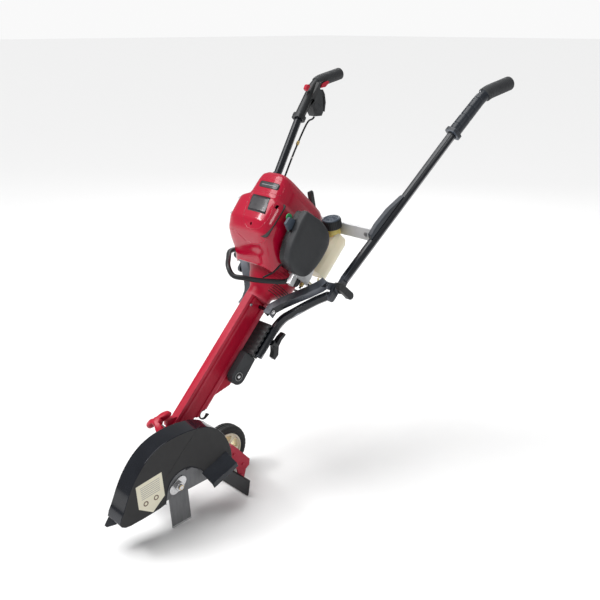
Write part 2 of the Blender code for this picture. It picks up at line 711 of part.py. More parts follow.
def make_upper_handle():
    """Upper tubes with their mouldings, crossbar, sleeve and grips; they fold as one piece."""
    pivot = fold_point()
    along, across = fold_place()
    up = (0, -0.7, 0.7)
    collar_distance = (upper_route(1)[1] - upper_route(1)[0]).length
    for end, side in (("left", 1), ("right", -1)):
        route = upper_route(side)
        total = sum((b - a).length for a, b in zip(route, route[1:]))
        pipe = sweep(bmesh.new(), along_route(route, 0, total - 4), circle(TUBE_RADIUS, 12),
                     circle(TUBE_BORE, 12),
                     up=up)
        tube = add_object("upper_tube_" + end, pipe, "black_tube", pivot)
        eye = capsule((along, across), 12, (along + 27, across + 1.5), 10.5)
        low, high = sorted((side * 170.4, side * 178.8))
        join(tube, plate(bmesh.new(), BEAM_SIDE, eye, low, high, [circle(4.4, 12, (along, across))]))
        grip = sweep(bmesh.new(), along_route(route, total - 100, total), circle(GRIP_RADIUS, 16),
                     circle(TUBE_RADIUS + GAP, 16), up=up)
        add_object("grip_" + end, grip, "grey_rubber", pivot)
        heading = (route[1] - route[0]).normalized()
        front = Vector((0, -1, 1)).normalized()
        front = (front - heading * heading.dot(front)).normalized()
        frame = matrix_from_axes(heading, front, heading.cross(front), route[0])
        crescent = [(112, 12.2), (118, 22), (146, 27), (190, 25), (240, 12.2)]
        add_object("side_moulding_" + end, plate(bmesh.new(), frame, crescent, -7, 7), "slate_plastic", pivot)

    sleeve_path = along_route(upper_route(1), collar_distance, collar_distance + 108)
    sleeve = add_object("handle_sleeve", sweep(bmesh.new(), sleeve_path, circle(15.5, 14),
                        circle(TUBE_RADIUS + GAP, 14), up=up),
                        "slate_plastic", pivot)
    flange_path = along_route(upper_route(1), collar_distance + 1, collar_distance + 12)
    join(sleeve, sweep(bmesh.new(), flange_path, superellipse(17, -17, 17, 16), circle(TUBE_RADIUS + 1,
         14), up=up))

    bar_back = FOLD_BACK + (COLLAR[1] - FOLD_BACK) * CROSSBAR_SHARE
    bar_up = FOLD_UP + (COLLAR[2] - FOLD_UP) * CROSSBAR_SHARE
    channel = [(-7, -14), (7, -14), (7, -11.5), (-4.5, -11.5), (-4.5, 11.5), (7, 11.5), (7, 14), (-7, 14)]
    section = [(bar_back + u, bar_up + v) for u, v in channel]
    bar_reach = FOLD_SIDE + (COLLAR[0] - FOLD_SIDE) * CROSSBAR_SHARE - TUBE_RADIUS - 3
    add_object("crossbar", plate(bmesh.new(), UPRIGHT_SIDE, section, -bar_reach, bar_reach),
               "cast_aluminium", pivot)


def make_fold_levers():
    """Clamp levers, one on each end of the fold axis."""
    along, across = fold_place()
    for name, side in (("fold_lever_left", 1), ("fold_lever_right", -1)):
        pivot = rest_point(side * FOLD_SIDE, FOLD_BACK, FOLD_UP)
        frame = shifted(BEAM_SIDE, along, across)
        body = capsule((0, 16), 8.5, (0, -27), 9)
        low, high = sorted((side * 179.3, side * 193))
        lever = add_object(name, plate(bmesh.new(), frame, body, low, high), "black_plastic", pivot)
        low, high = sorted((side * 148, side * 181))
        join(lever, rod(frame, 3.9, low, high, 10))
        low, high = sorted((side * 148, side * 154.5))
        join(lever, rod(frame, 7, low, high, 6))


def make_throttle():
    """Throttle housing on the right handle, with trigger, lock-off lever and stop switch."""
    pivot = fold_point()
    up = (0, -0.7, 0.7)
    route = upper_route(-1)
    collar_distance = (route[1] - route[0]).length
    total = sum((b - a).length for a, b in zip(route, route[1:]))
    sleeve_path = along_route(route, collar_distance - 4, total - 99)
    housing = add_object("throttle_housing", sweep(bmesh.new(), sleeve_path, circle(14.5, 14), up=up),
                         "black_plastic", pivot)
    block = [(748, 756), (788, 804), (800, 806), (790, 796), (790, 786), (799, 772), (801, 745), (803, 722),
             (797, 711), (771, 711), (763, 724), (758, 744), (768, 756), (763, 762)]
    join(housing, plate(bmesh.new(), UPRIGHT_SIDE, block, -284, -258))
    collar_path = along_route(route, collar_distance - 8, collar_distance + 6)
    join(housing, sweep(bmesh.new(), collar_path, superellipse(16.5, -16.5, 16.5, 16), up=up))
    cut(housing, sweep(bmesh.new(), along_route(route, 0, total), circle(TUBE_RADIUS + GAP, 14), up=up))
    cut(housing, sweep(bmesh.new(), along_route(route, total - 100.5, total), circle(GRIP_RADIUS + GAP,
        16), up=up))

    switch = [(747, 781), (759, 793.5), (753, 800), (747, 799), (741, 788)]
    add_object("stop_switch", plate(bmesh.new(), UPRIGHT_SIDE, switch, -277, -266), "red_plastic",
               rest_point(-271, 750, 788))
    lock = [(793.5, 788), (798, 798), (825, 806), (828, 802), (812, 790)]
    add_object("lock_off_lever", plate(bmesh.new(), UPRIGHT_SIDE, lock, -266, -258.6), "red_plastic",
               rest_point(-262, 795, 789))
    trigger_pivot = rest_point(-272, 804, 778)
    trigger = arc((804, 778), 4.2, 60, 240, 6) + [(812, 764), (815, 745), (812, 722), (818, 720), (822, 746),
                                                  (818, 770), (810, 783)]
    add_object("throttle_trigger", plate(bmesh.new(), UPRIGHT_SIDE, trigger, -279, -266.6), "black_plastic",
               trigger_pivot)


def make_cable(name, places, radius, finish, pivot=None, steps=4, sides=2):
    """Round cable or hose through its route's points: a curve with a bevel and filled ends."""
    points = smooth_path([Vector(place) for place in places], steps)
    origin = Vector(pivot) if pivot is not None else Vector((0, 0, 0))
    curve = bpy.data.curves.new(name, "CURVE")
    curve.dimensions = "3D"
    curve.bevel_depth = radius * MM
    curve.bevel_resolution = sides
    curve.use_fill_caps = True
    spline = curve.splines.new("POLY")
    spline.points.add(len(points) - 1)
    for target, point in zip(spline.points, points):
        target.co = (*((point - origin) * MM), 1.0)
    curve.materials.append(MATERIALS[finish])
    body = bpy.data.objects.new(name, curve)
    body.location = origin * MM
    bpy.context.scene.collection.objects.link(body)


def make_cables():
    """Throttle cable in two lengths that meet on the fold axis, the breather hose and the fuel line."""
    upper = [rest_point(*place) for place in
             ((-270, 778, 708), (-269, 770, 703), (-260, 744, 698), (-246, 709, 672), (-234, 668, 627),
              (-221, 628, 580), (-202, 572, 512), (-179, 508, 438), (-163, 472, 406),
              (-147, FOLD_BACK + 14, FOLD_UP + 17), (-144.5, FOLD_BACK + 3, FOLD_UP + 3.5),
              (-142, FOLD_BACK, FOLD_UP), (-139, FOLD_BACK, FOLD_UP))]
    make_cable("throttle_cable_upper", upper, 2.6, "black_rubber", fold_point(), steps=3)
    along, across = fold_place()
    lower = [beam_point(*place) for place in
             ((-138.6, along, across), (-136, along, across), (-133, along, across), (-112, 552, -92),
             (-60, 546, -101), (0, 543, -103),
              (56, 542, -100), (90, 543, -84), (98, 546, -60), (98, 547, -31.4))]
    make_cable("throttle_cable_lower", lower, 2.6, "black_rubber", steps=4)
    hose = [beam_point(*place) for place in BREATHER_ROUTE]
    make_cable("breather_hose", hose, 6.0, "black_rubber", steps=2, sides=3)
    line = [beam_point(*place) for place in
            ((82, 581.6, -74), (82, 577, -78), (83, 569, -86), (86, 560, -87), (88, 556, -74), (88, 556, -52),
             (88, 556, -31.4))]
    make_cable("fuel_line", line, 2.5, "cream_plastic", steps=3)


BREATHER_ROUTE = ((-78.6, 556, 36), (-84, 553, 41), (-88, 545, 55), (-76, 528, 76), (-50, 507, 90),
                  (-22, 484, 101),
                  (0, 469, 92), (22, 476, 78), (42, 490, 52), (58, 502, 35), (72, 512, 22), (80, 520, 13),
                  (83.6, 524, 11))


# ---------------------------------------------------------------- engine

def make_clutch():
    """Drive shaft, clutch drum and shoes, and the flared housing round them."""
    shaft_pivot = beam_point(0, 260, 0)
    add_object("drive_shaft", rod(BEAM_ACROSS, 4, 20, 504.4, 12), "bright_steel", shaft_pivot)
    drum = [(4.4, 496), (12, 496), (12, 503), (25.5, 503), (25.5, 528), (23.3, 528), (23.3, 505.5),
            (4.4, 505.5)]
    add_object("clutch_drum", revolve(bmesh.new(), BEAM_ACROSS, drum, 20), "bright_steel", shaft_pivot)
    crank_pivot = beam_point(0, 560, 0)
    shoes = add_object("clutch_shoes", revolve(bmesh.new(), BEAM_ACROSS, ring_profile(14, 8.9, 510, 524), 16),
                       "cast_aluminium", crank_pivot)
    for start in (8, 188):
        half = arc((0, 0), 22.3, start, start + 164, 9) + arc((0, 0), 13, start + 164, start, 7)
        join(shoes, plate(bmesh.new(), BEAM_ACROSS, half, 509, 525))

    low = BEAM_END + 0.4
    outer = ((low, 31, -12), (478, 31, -12.5), (488, 38, -17), (500, 50, -22), (520, 59, -20), (533, 64, -14),
             (547, 66, -6))
    inner = ((547, 63.5, -6), (533, 61.5, -14), (520, 56.5, -20), (500, 47.5, -22), (488, 35.5, -17),
             (478, 28.5, -12.5), (low + 6, 28.5, -12), (low + 6, 9, 0), (low, 9, 0))
    rings = []
    for along, radius, centre in outer + inner:
        rings.append([beam_point(side, along, centre + across) for across, side in circle(radius, 20)])
    skin = bmesh.new()
    add_rings(skin, rings, closed=True)
    housing = add_object("clutch_housing", skin, "red_paint")
    for louvre in range(LOUVRES):
        turn = Matrix.Translation((-20, 0, 0)) @ Matrix.Rotation(math.radians(92 + 14 * louvre), 4, "Z")
        slot = [(26, -1.8), (80, -1.8), (80, 1.8), (26, 1.8)]
        cut(housing, plate(bmesh.new(), BEAM_ACROSS @ turn, slot, 482, 507))


def make_engine_inside():
    """Crankcase with its cylinder, crankshaft with flywheel, exhaust, plug and recoil starter."""
    case = [(9.2, 558), (44, 558), (44, 655), (9.2, 655), (9.2, 650), (38, 650), (38, 563), (9.2, 563)]
    block = add_object("crankcase_and_cylinder", revolve(bmesh.new(), BEAM_ACROSS, case, 16), "cast_aluminium")
    fins = [(0, 42), (30, 42), (30, 50)]
    for fin in range(5):
        base = 52 + 11 * fin
        fins += [(24, base), (36, base), (36, base + 4), (24, base + 4)]
    fins += [(24, 106), (0, 106)]
    join(block, revolve(bmesh.new(), BEAM @ Matrix.Translation((0, CYLINDER_ALONG, 0)), fins, 12))

    crank_pivot = beam_point(0, 560, 0)
    crank = [(0, 508), (8.4, 508), (8.4, 532), (46, 536), (46, 542), (22, 549), (8.4, 550), (8.4, 572),
             (33, 572),
             (33, 584), (10, 584), (10, 626), (33, 626), (33, 638), (8.4, 638), (8.4, 664), (0, 664)]
    add_object("crankshaft", revolve(bmesh.new(), BEAM_ACROSS, crank, 18), "bright_steel", crank_pivot)

    recoil = [(4, 704), (24, 704), (36, 698), (40, 690), (40, 668), (37, 668), (37, 688), (22, 700), (4, 700)]
    add_object("recoil_housing", revolve(bmesh.new(), BEAM_ACROSS, recoil, 24), "black_plastic")

    lean = math.radians(90 - 34)
    bar_frame = BEAM @ Matrix.Translation((0, 746, 3)) @ Matrix.Rotation(lean, 4, "X")
    bar = capsule((0, -18), 5.5, (0, 18), 5.5, 7)
    handle = add_object("recoil_handle", plate(bmesh.new(), bar_frame, bar, -5.5, 5.5), "black_plastic",
                        beam_point(0, 740, 0))
    join(handle, rod(BEAM_ACROSS, 2.2, 686, 744, 10))

    can = superellipse(11.5, 30, 80, 20, 5)
    muffler = plate(bmesh.new(), BEAM_ACROSS, [(c, x - 52.5) for x, c in can], 576, 640)
    add_object("muffler", muffler, "bright_steel")
    plug_frame = BEAM_ACROSS @ Matrix.Translation((92, 0, 0))
    plug = [(0, 644), (6, 644), (6, 655), (9.5, 656), (9.5, 684), (0, 684)]
    add_object("spark_plug", revolve(bmesh.new(), plug_frame, plug, 12), "black_rubber")


def cover_ring(along, half_width, low, high, lean, inset=0.0):
    """One ring of the engine cover at a distance along the beam; lean moves it sideways."""
    outline = superellipse(half_width - inset, low + inset, high - inset, 20, 5)
    return [beam_point(side + lean, along, across) for side, across in outline]


# Rings of the engine cover: distance along the beam, half width, rear edge, front edge, sideways shift
COVER_RINGS = (
    (520, 66, -60, 68, 0), (541, 71, -60, 91, 0), (556, 75, -60, 118, 0), (570, 77, -48.5, 137, 0),
    (595, 78, -48.5, 152, 0), (642, 78, -48.5, 156, 0), (650, 75, -48.5, 156, 0), (661, 59, -48.5, 152, 6),
    (700, 53, -43, 154, 4), (715, 47, -32, 154, 3), (723, 38, -22, 147, 3))


def make_engine_cover():
    """Thin cover over the engine, open below, with openings for the inlet, the exhaust and the starter rope."""
    outer = [cover_ring(*ring) for ring in COVER_RINGS]
    wall = 2.4
    inner = [cover_ring(along - (wall if along > 710 else 0), *rest, inset=wall)
             for along, *rest in COVER_RINGS[:-1]]
    cover = add_object("engine_cover", cup(bmesh.new(), outer, inner), "red_gloss")
    inlet = [(590, 44), (624, 44), (624, 80), (590, 80)]
    cut(cover, plate(bmesh.new(), BEAM_SIDE, inlet, 40, 90))
    exhaust = [(590, 45), (630, 45), (630, 75), (590, 75)]
    cut(cover, plate(bmesh.new(), BEAM_SIDE, exhaust, -90, -71))
    cut(cover, rod(BEAM_ACROSS, 4, 705, 730, 12))
    skirt = [(510, -80), (548, -80), (548, 50), (510, 50)]
    cut(cover, plate(bmesh.new(), BEAM_SIDE, skirt, -95, 95))


AIR_CLEANER_OUTLINE = [(662, 108), (637, 108), (612, 103), (582, 97), (561, 88), (545, 74), (537, 46),
                       (542, 17),
                       (553, 2), (573, -6), (604, -11), (640, -9), (660, 3), (670, 20), (674, 49),
                       (670, 80), (667, 98)]


def make_intake():
    """Carburettor with primer bulb and choke lever, and the air-cleaner cover."""
    body = [(540, -31), (540, 22), (560, 22), (588, 42), (588, 80), (628, 80), (628, 40), (608, -2), (586, -24),
            (562, -31)]
    carburettor = add_object("carburettor", plate(bmesh.new(), BEAM_SIDE, body, 80, 104), "cast_aluminium")
    join(carburettor, rod(shifted(BEAM_SIDE, CYLINDER_ALONG, 62), 12, 37.5, 82, 16))
    elbow = [(516, 4), (516, 18), (542, 21), (542, 7)]
    join(carburettor, plate(bmesh.new(), BEAM_SIDE, elbow, 88.6, 101))
    bulb_frame = BEAM_ACROSS @ Matrix.Translation((-7, 92, 0))
    bulb = [(0, 539.6), (8.4, 539.6), (8.4, 532), (7, 525), (4, 521), (0, 520)]
    add_object("primer_bulb", revolve(bmesh.new(), bulb_frame, bulb, 14), "black_rubber", beam_point(92,
               530, -7))

    middle = (602, 56)
    rings = []
    for factor, side in ((1.0, AIR_CLEANER_SIDE), (1.0, AIR_CLEANER_SIDE + 13), (0.93, AIR_CLEANER_SIDE + 19),
                         (0.84, AIR_CLEANER_SIDE + 21.5)):
        rings.append([beam_point(side, a, c) for a, c in scaled(AIR_CLEANER_OUTLINE, factor, middle)])
    inner = []
    for factor, side in ((0.95, AIR_CLEANER_SIDE), (0.95, AIR_CLEANER_SIDE + 12),
                         (0.88, AIR_CLEANER_SIDE + 16.5)):
        inner.append([beam_point(side, a, c) for a, c in scaled(AIR_CLEANER_OUTLINE, factor, middle)])
    add_object("air_cleaner_cover", cup(bmesh.new(), rings, inner), "charcoal_plastic")

    knob = circle(16, 5, (622, 113), start=-20)
    lever = add_object("choke_lever", plate(bmesh.new(), BEAM_SIDE, knob, 96, 103), "slate_plastic",
                       beam_point(92, 608, 88))
    join(lever, plate(bmesh.new(), BEAM_SIDE, capsule((608, 88), 6, (620, 110), 6), 92, 97))


def make_tank():
    """Fuel tank wrapped under the crankcase, with its neck and cap."""
    outline = [(-88, -50), (-82, -58), (-58, -58), (-51, -52), (-51, 56), (-46, 66), (-36, 72), (-30, 80),
               (-30, 100), (-38, 108), (-56, 110), (-76, 102), (-88, 86)]
    tank = add_object("fuel_tank", plate(bmesh.new(), BEAM_ACROSS, outline, 582, 692), "cream_plastic")
    cut(tank, plate(bmesh.new(), BEAM_SIDE, [(697, -54), (672, -97), (710, -120), (720, -54)], -80, 130))
    cut(tank, plate(bmesh.new(), BEAM_SIDE, [(578, -66), (602, -92), (602, -120), (570, -120),
            (570, -66)], -80, 130))
    lean = math.radians(CAP_LEAN)
    direction = Vector((0, -math.sin(lean), math.cos(lean)))
    cap_base = beam_point(*CAP_CENTRE) - direction * 15
    frame = axis_frame(cap_base, direction)
    join(tank, rod(frame, 14, -26, 12, 18))
    cap = [(0, 25), (21, 25), (23.5, 22), (23.5, 0), (15, 0), (15, 14), (0, 14)]
    add_object("fuel_cap", revolve(bmesh.new(), frame, cap, 24), "slate_plastic", cap_base)


def clear_scene():
    """Remove whatever the open file holds."""
    for existing in list(bpy.data.objects):
        bpy.data.objects.remove(existing, do_unlink=True)


clear_scene()
MATERIALS = {name: make_material(name, *values) for name, values in FINISHES.items()}
make_gears()
make_gear_case()
make_blade()
make_guard()
make_beam()
make_depth_knob()
make_wheel()
make_handle_mount()
make_lower_handle()
make_upper_handle()
make_fold_levers()
make_throttle()
make_clutch()
make_engine_inside()
make_engine_cover()
make_intake()
make_tank()
make_cables()
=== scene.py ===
"""Looks of the wheeled lawn edger: detailed skins, trims and materials on the fixed frame.

World frame: +Z up, the blade end faces -Y, the operator stands at +Y. Lengths are in millimetres and become
metres when a piece is made. Beam places are (side, along, across).
"""

import json
import math

import bmesh
import bpy
from mathutils import Matrix, Vector
from mathutils.bvhtree import BVHTree
from mathutils.geometry import tessellate_polygon

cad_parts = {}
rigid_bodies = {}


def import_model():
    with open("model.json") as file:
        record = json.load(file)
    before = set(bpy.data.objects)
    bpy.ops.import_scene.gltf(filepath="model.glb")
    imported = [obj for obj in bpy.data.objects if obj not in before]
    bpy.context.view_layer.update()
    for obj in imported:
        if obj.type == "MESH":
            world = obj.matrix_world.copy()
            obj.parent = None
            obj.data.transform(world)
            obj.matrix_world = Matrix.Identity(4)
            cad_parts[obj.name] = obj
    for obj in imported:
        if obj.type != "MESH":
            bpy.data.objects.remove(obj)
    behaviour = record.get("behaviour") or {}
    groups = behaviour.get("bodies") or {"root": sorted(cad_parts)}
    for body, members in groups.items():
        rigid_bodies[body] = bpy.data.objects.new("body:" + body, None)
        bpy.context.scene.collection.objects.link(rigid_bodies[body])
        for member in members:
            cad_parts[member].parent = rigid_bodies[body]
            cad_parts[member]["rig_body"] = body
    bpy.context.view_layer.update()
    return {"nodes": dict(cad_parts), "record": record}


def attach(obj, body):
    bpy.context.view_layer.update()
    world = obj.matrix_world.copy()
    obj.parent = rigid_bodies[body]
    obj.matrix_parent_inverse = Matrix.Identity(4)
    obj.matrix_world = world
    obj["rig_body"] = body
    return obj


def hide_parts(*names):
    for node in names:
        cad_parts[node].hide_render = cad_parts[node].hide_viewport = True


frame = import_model()

MM = 0.001
BLADE_AXIS_UP = -813.0
BLADE_AXIS_FORWARD = 850.0
BEAM_TILT = 47.0
GROUND = -0.917
GUARD_BACK = 60.3
GUARD_FACE = 111.0
GUARD_WALL = 2.5
WHEEL_AXLE = (224.5, -43.0)
FOLD = (169.5, 429.5, 375.0)
COLLAR = (262.0, 711.0, 713.0)
BEND = (284.0, 797.0, 803.0)
GRIP_END = (286.0, 897.0, 823.0)
LUG_PIVOT = (280.0, -58.0)
KNOB_FOOT = (0, 88, 20)
KNOB_LEAN = 10.0
HANDLE_UP = (0, -0.7, 0.7)
TUBE_RADIUS = 11.4
GRIP_LENGTH = 100.0
CROSSBAR_SHARE = 0.34
COVER_START = 520.0
COVER_END = 723.0
COVER_WALL = 2.4
AIR_CLEANER_BASE = 106.0
CAP_LEAN = 13.0
CAMERA_PLACE = (1.401, -1.707, 0.1455)
CAMERA_AZIMUTH = 46.617
CAMERA_PITCH_DOWN = 19.004
CAMERA_LENS = 48.0
CAMERA_SENSOR = 36.0
SUN_DIRECTION = (0.35, 0.30, -1.0)
FLOOR_REACH = 60.0
SKY_ON_OBJECT = 0.34
SKY_SEEN = 0.95


# ---------------------------------------------------------------- shapes

def matrix_from_axes(x_axis, y_axis, z_axis, origin=(0, 0, 0)):
    """Matrix whose columns are the three axes and the origin."""
    matrix = Matrix.Identity(4)
    for column, axis in enumerate((x_axis, y_axis, z_axis, origin)):
        for row in range(3):
            matrix[row][column] = axis[row]
    return matrix


SIDE_VIEW = matrix_from_axes((0, 1, 0), (0, 0, 1), (1, 0, 0))
END_VIEW = matrix_from_axes((0, 0, 1), (1, 0, 0), (0, 1, 0))
UPRIGHT = Matrix.Translation((0, -BLADE_AXIS_FORWARD, BLADE_AXIS_UP))
UPRIGHT_SIDE = UPRIGHT @ SIDE_VIEW
BEAM = UPRIGHT @ Matrix.Rotation(math.radians(BEAM_TILT), 4, "X")
BEAM_SIDE = BEAM @ SIDE_VIEW
BEAM_ACROSS = BEAM @ END_VIEW


def rest_point(side, back, up):
    """World point from its sideways place, distance behind and height above the blade axis."""
    return UPRIGHT @ Vector((side, back, up))


def beam_point(side, along, across):
    """World point from its place on the beam."""
    return BEAM @ Vector((side, along, across))


def axis_frame(origin, direction, hint=(1, 0, 0)):
    """Frame at origin whose Z runs along direction and whose X is near the hint."""
    z_axis = Vector(direction).normalized()
    x_axis = (Vector(hint) - z_axis * z_axis.dot(Vector(hint))).normalized()
    return matrix_from_axes(x_axis, z_axis.cross(x_axis), z_axis, origin)


def shifted(place, u, v):
    """Frame moved in its own plane."""
    return place @ Matrix.Translation((u, v, 0))


def arc(centre, radius, start, end, count):
    """Points along an arc, both ends included; angles in degrees."""
    points = []
    for index in range(count):
        angle = math.radians(start + (end - start) * index / (count - 1))
        points.append((centre[0] + radius * math.cos(angle), centre[1] + radius * math.sin(angle)))
    return points


def circle(radius, count, centre=(0, 0)):
    """Points of a circle."""
    return arc(centre, radius, 0, 360.0 * (count - 1) / count, count)


def capsule(first, first_radius, second, second_radius, count=8):
    """Outline of a link with two round ends."""
    heading = math.degrees(math.atan2(second[1] - first[1], second[0] - first[0]))
    points = arc(first, first_radius, heading + 90, heading + 270, count)
    return points + arc(second, second_radius, heading - 90, heading + 90, count)


def scaled(outline, factor, centre):
    """Outline shrunk or grown about a centre."""
    return [(centre[0] + (u - centre[0]) * factor, centre[1] + (v - centre[1]) * factor) for u, v in outline]


def superellipse(half_width, low, high, count, power=4.0):
    """Rounded rectangle between -half_width and half_width, and between low and high."""
    points = []
    for index in range(count):
        angle = 2 * math.pi * (index + 0.5) / count
        cosine = math.cos(angle)
        sine = math.sin(angle)
        u = half_width * math.copysign(abs(cosine) ** (2 / power), cosine)
        v = (high - low) / 2 * math.copysign(abs(sine) ** (2 / power), sine)
        points.append((u, (low + high) / 2 + v))
    return points


def rounded_box(centre, half_width, half_height, radius, lean=0.0, count=6):
    """Rounded rectangle; lean slides its top sideways."""
    points = []
    for sign_u, sign_v, start in ((1, 1, 0), (-1, 1, 90), (-1, -1, 180), (1, -1, 270)):
        corner = (sign_u * (half_width - radius), sign_v * (half_height - radius))
        for u, v in arc(corner, radius, start, start + 90, count):
            points.append((centre[0] + u + lean * v / half_height, centre[1] + v))
    return points


def stretch_between(p0, p1, p2, p3, steps):
    """Catmull-Rom points from p1 up to but without p2."""
    points = []
    for step in range(steps):
        t = step / steps
        points.append(0.5 * (2 * p1 + (p2 - p0) * t + (2 * p0 - 5 * p1 + 4 * p2 - p3) * t * t
                             + (3 * p1 - p0 - 3 * p2 + p3) * t ** 3))
    return points


def closed_curve(outline, steps):
    """Smooth closed curve through an outline's points."""
    points = []
    for index in range(len(outline)):
        nearby = [Vector(outline[(index + k) % len(outline)]) for k in (-1, 0, 1, 2)]
        points += [tuple(point) for point in stretch_between(*nearby, steps)]
    return points


def smooth_path(points, steps):
    """Catmull-Rom curve through the points."""
    padded = [points[0] * 2 - points[1]] + list(points) + [points[-1] * 2 - points[-2]]
    path = []
    for index in range(1, len(padded) - 2):
        path += stretch_between(*padded[index - 1:index + 3], steps)
    path.append(points[-1].copy())
    return path


def add_rings(bm, rings, closed):
    """Skin of quads between rings of equal length; a ring of one point is a pole."""
    made = [[bm.verts.new(point) for point in ring] for ring in rings]
    pairs = list(zip(made, made[1:]))
    if closed:
        pairs.append((made[-1], made[0]))
    for first, second in pairs:
        count = max(len(first), len(second))
        for index in range(count):
            following = (index + 1) % count
            corners = [first[index % len(first)], first[following % len(first)]]
            corners += [second[following % len(second)], second[index % len(second)]]
            bm.faces.new(list(dict.fromkeys(corners)))
    return made


def revolve(place, profile, segments=64, wobble=None):
    """Turned body from (radius, height) points; wobble may change a radius by its point and its segment."""
    bm = bmesh.new()
    rings = []
    for row, (radius, height) in enumerate(profile):
        if radius == 0:
            rings.append([place @ Vector((0, 0, height))])
            continue
        ring = []
        for index in range(segments):
            angle = 2 * math.pi * index / segments
            reach = radius + (wobble(row, index) if wobble else 0.0)
            ring.append(place @ Vector((reach * math.cos(angle), reach * math.sin(angle), height)))
        rings.append(ring)
    add_rings(bm, rings, closed=profile[0][0] != 0)
    return bm


def plate(place, outline, low, high, holes=()):
    """Flat body with straight holes between two heights of the frame."""
    bm = bmesh.new()
    loops = [list(outline)] + [list(hole) for hole in holes]
    triangles = tessellate_polygon([[Vector((u, v, 0)) for u, v in loop] for loop in loops])
    layers = []
    for height in (low, high):
        layers.append([[bm.verts.new(place @ Vector((u, v, height))) for u, v in loop] for loop in loops])
    for layer in layers:
        flat_verts = [vert for loop in layer for vert in loop]
        for triangle in triangles:
            bm.faces.new([flat_verts[index] for index in triangle])
    for lower, upper in zip(*layers):
        for index in range(len(lower)):
            following = (index + 1) % len(lower)
            bm.faces.new([lower[index], lower[following], upper[following], upper[index]])
    bmesh.ops.dissolve_limit(bm, angle_limit=0.01, verts=bm.verts, edges=bm.edges)
    return bm


def loft(rings):
    """Body through rings of equal length, closed by flat ends."""
    bm = bmesh.new()
    made = add_rings(bm, rings, closed=False)
    bm.faces.new(made[0])
    bm.faces.new(made[-1])
    return bm


def sweep(points, section_at, up=(0, 0, 1), bore=None):
    """Section carried along points; section_at(distance) gives its outline."""
    tangents = []
    for index in range(len(points)):
        before = points[max(index - 1, 0)]
        after = points[min(index + 1, len(points) - 1)]
        tangents.append((after - before).normalized())
    rings = []
    holes = []
    walked = 0.0
    for index, (point, tangent) in enumerate(zip(points, tangents)):
        if index:
            walked += (point - points[index - 1]).length
        u_axis = tangent.cross(Vector(up)).normalized()
        v_axis = u_axis.cross(tangent)
        section = section_at(walked)
        rings.append([point + u_axis * u + v_axis * v for u, v in section])
        if bore:
            holes.append([point + u_axis * u + v_axis * v for u, v in circle(bore, len(section))])
    if bore:
        bm = bmesh.new()
        add_rings(bm, rings + holes[::-1], closed=True)
        return bm
    return loft(rings)


def resampled(points, step):
    """Points at an even distance along a line of points."""
    path = [points[0].copy()]
    for first, second in zip(points, points[1:]):
        count = max(1, round((second - first).length / step))
        for index in range(count):
            path.append(first.lerp(second, (index + 1) / count))
    return path


def part_of(route, start, end):
    """The stretch of a line of points between two distances from its first point."""
    points = []
    walked = 0.0
    for first, second in zip(route, route[1:]):
        length = (second - first).length
        if walked < start <= walked + length:
            points.append(first.lerp(second, (start - walked) / length))
        elif start <= walked < end:
            points.append(first.copy())
        if walked < end <= walked + length:
            points.append(first.lerp(second, (end - walked) / length))
            return points
        walked += length
    points.append(route[-1].copy())
    return points


def length_of(route):
    """Length of a line of points."""
    return sum((b - a).length for a, b in zip(route, route[1:]))


def upper_route(side):
    """Centre line of an upper tube, from the fold clamp to the end of the grip."""
    fold = rest_point(side * FOLD[0], FOLD[1], FOLD[2])
    collar = rest_point(side * COLLAR[0], COLLAR[1], COLLAR[2])
    bend = rest_point(side * BEND[0], BEND[1], BEND[2])
    end = rest_point(side * GRIP_END[0], GRIP_END[1], GRIP_END[2])
    start = fold + (collar - fold).normalized() * 24
    entry = bend + (collar - bend).normalized() * 28
    leave = bend + (end - bend).normalized() * 28
    turn = []
    for step in range(13):
        t = step / 12
        turn.append(entry * (1 - t) ** 2 + bend * (2 * t * (1 - t)) + leave * t * t)
    return [start, collar] + turn + [end]


# ---------------------------------------------------------------- materials

def node_of(tree, kind, **values):
    """New shader node with some of its inputs or properties set."""
    made = tree.nodes.new(kind)
    for key, value in values.items():
        if key in made.inputs:
            made.inputs[key].default_value = value
        else:
            setattr(made, key, value)
    return made


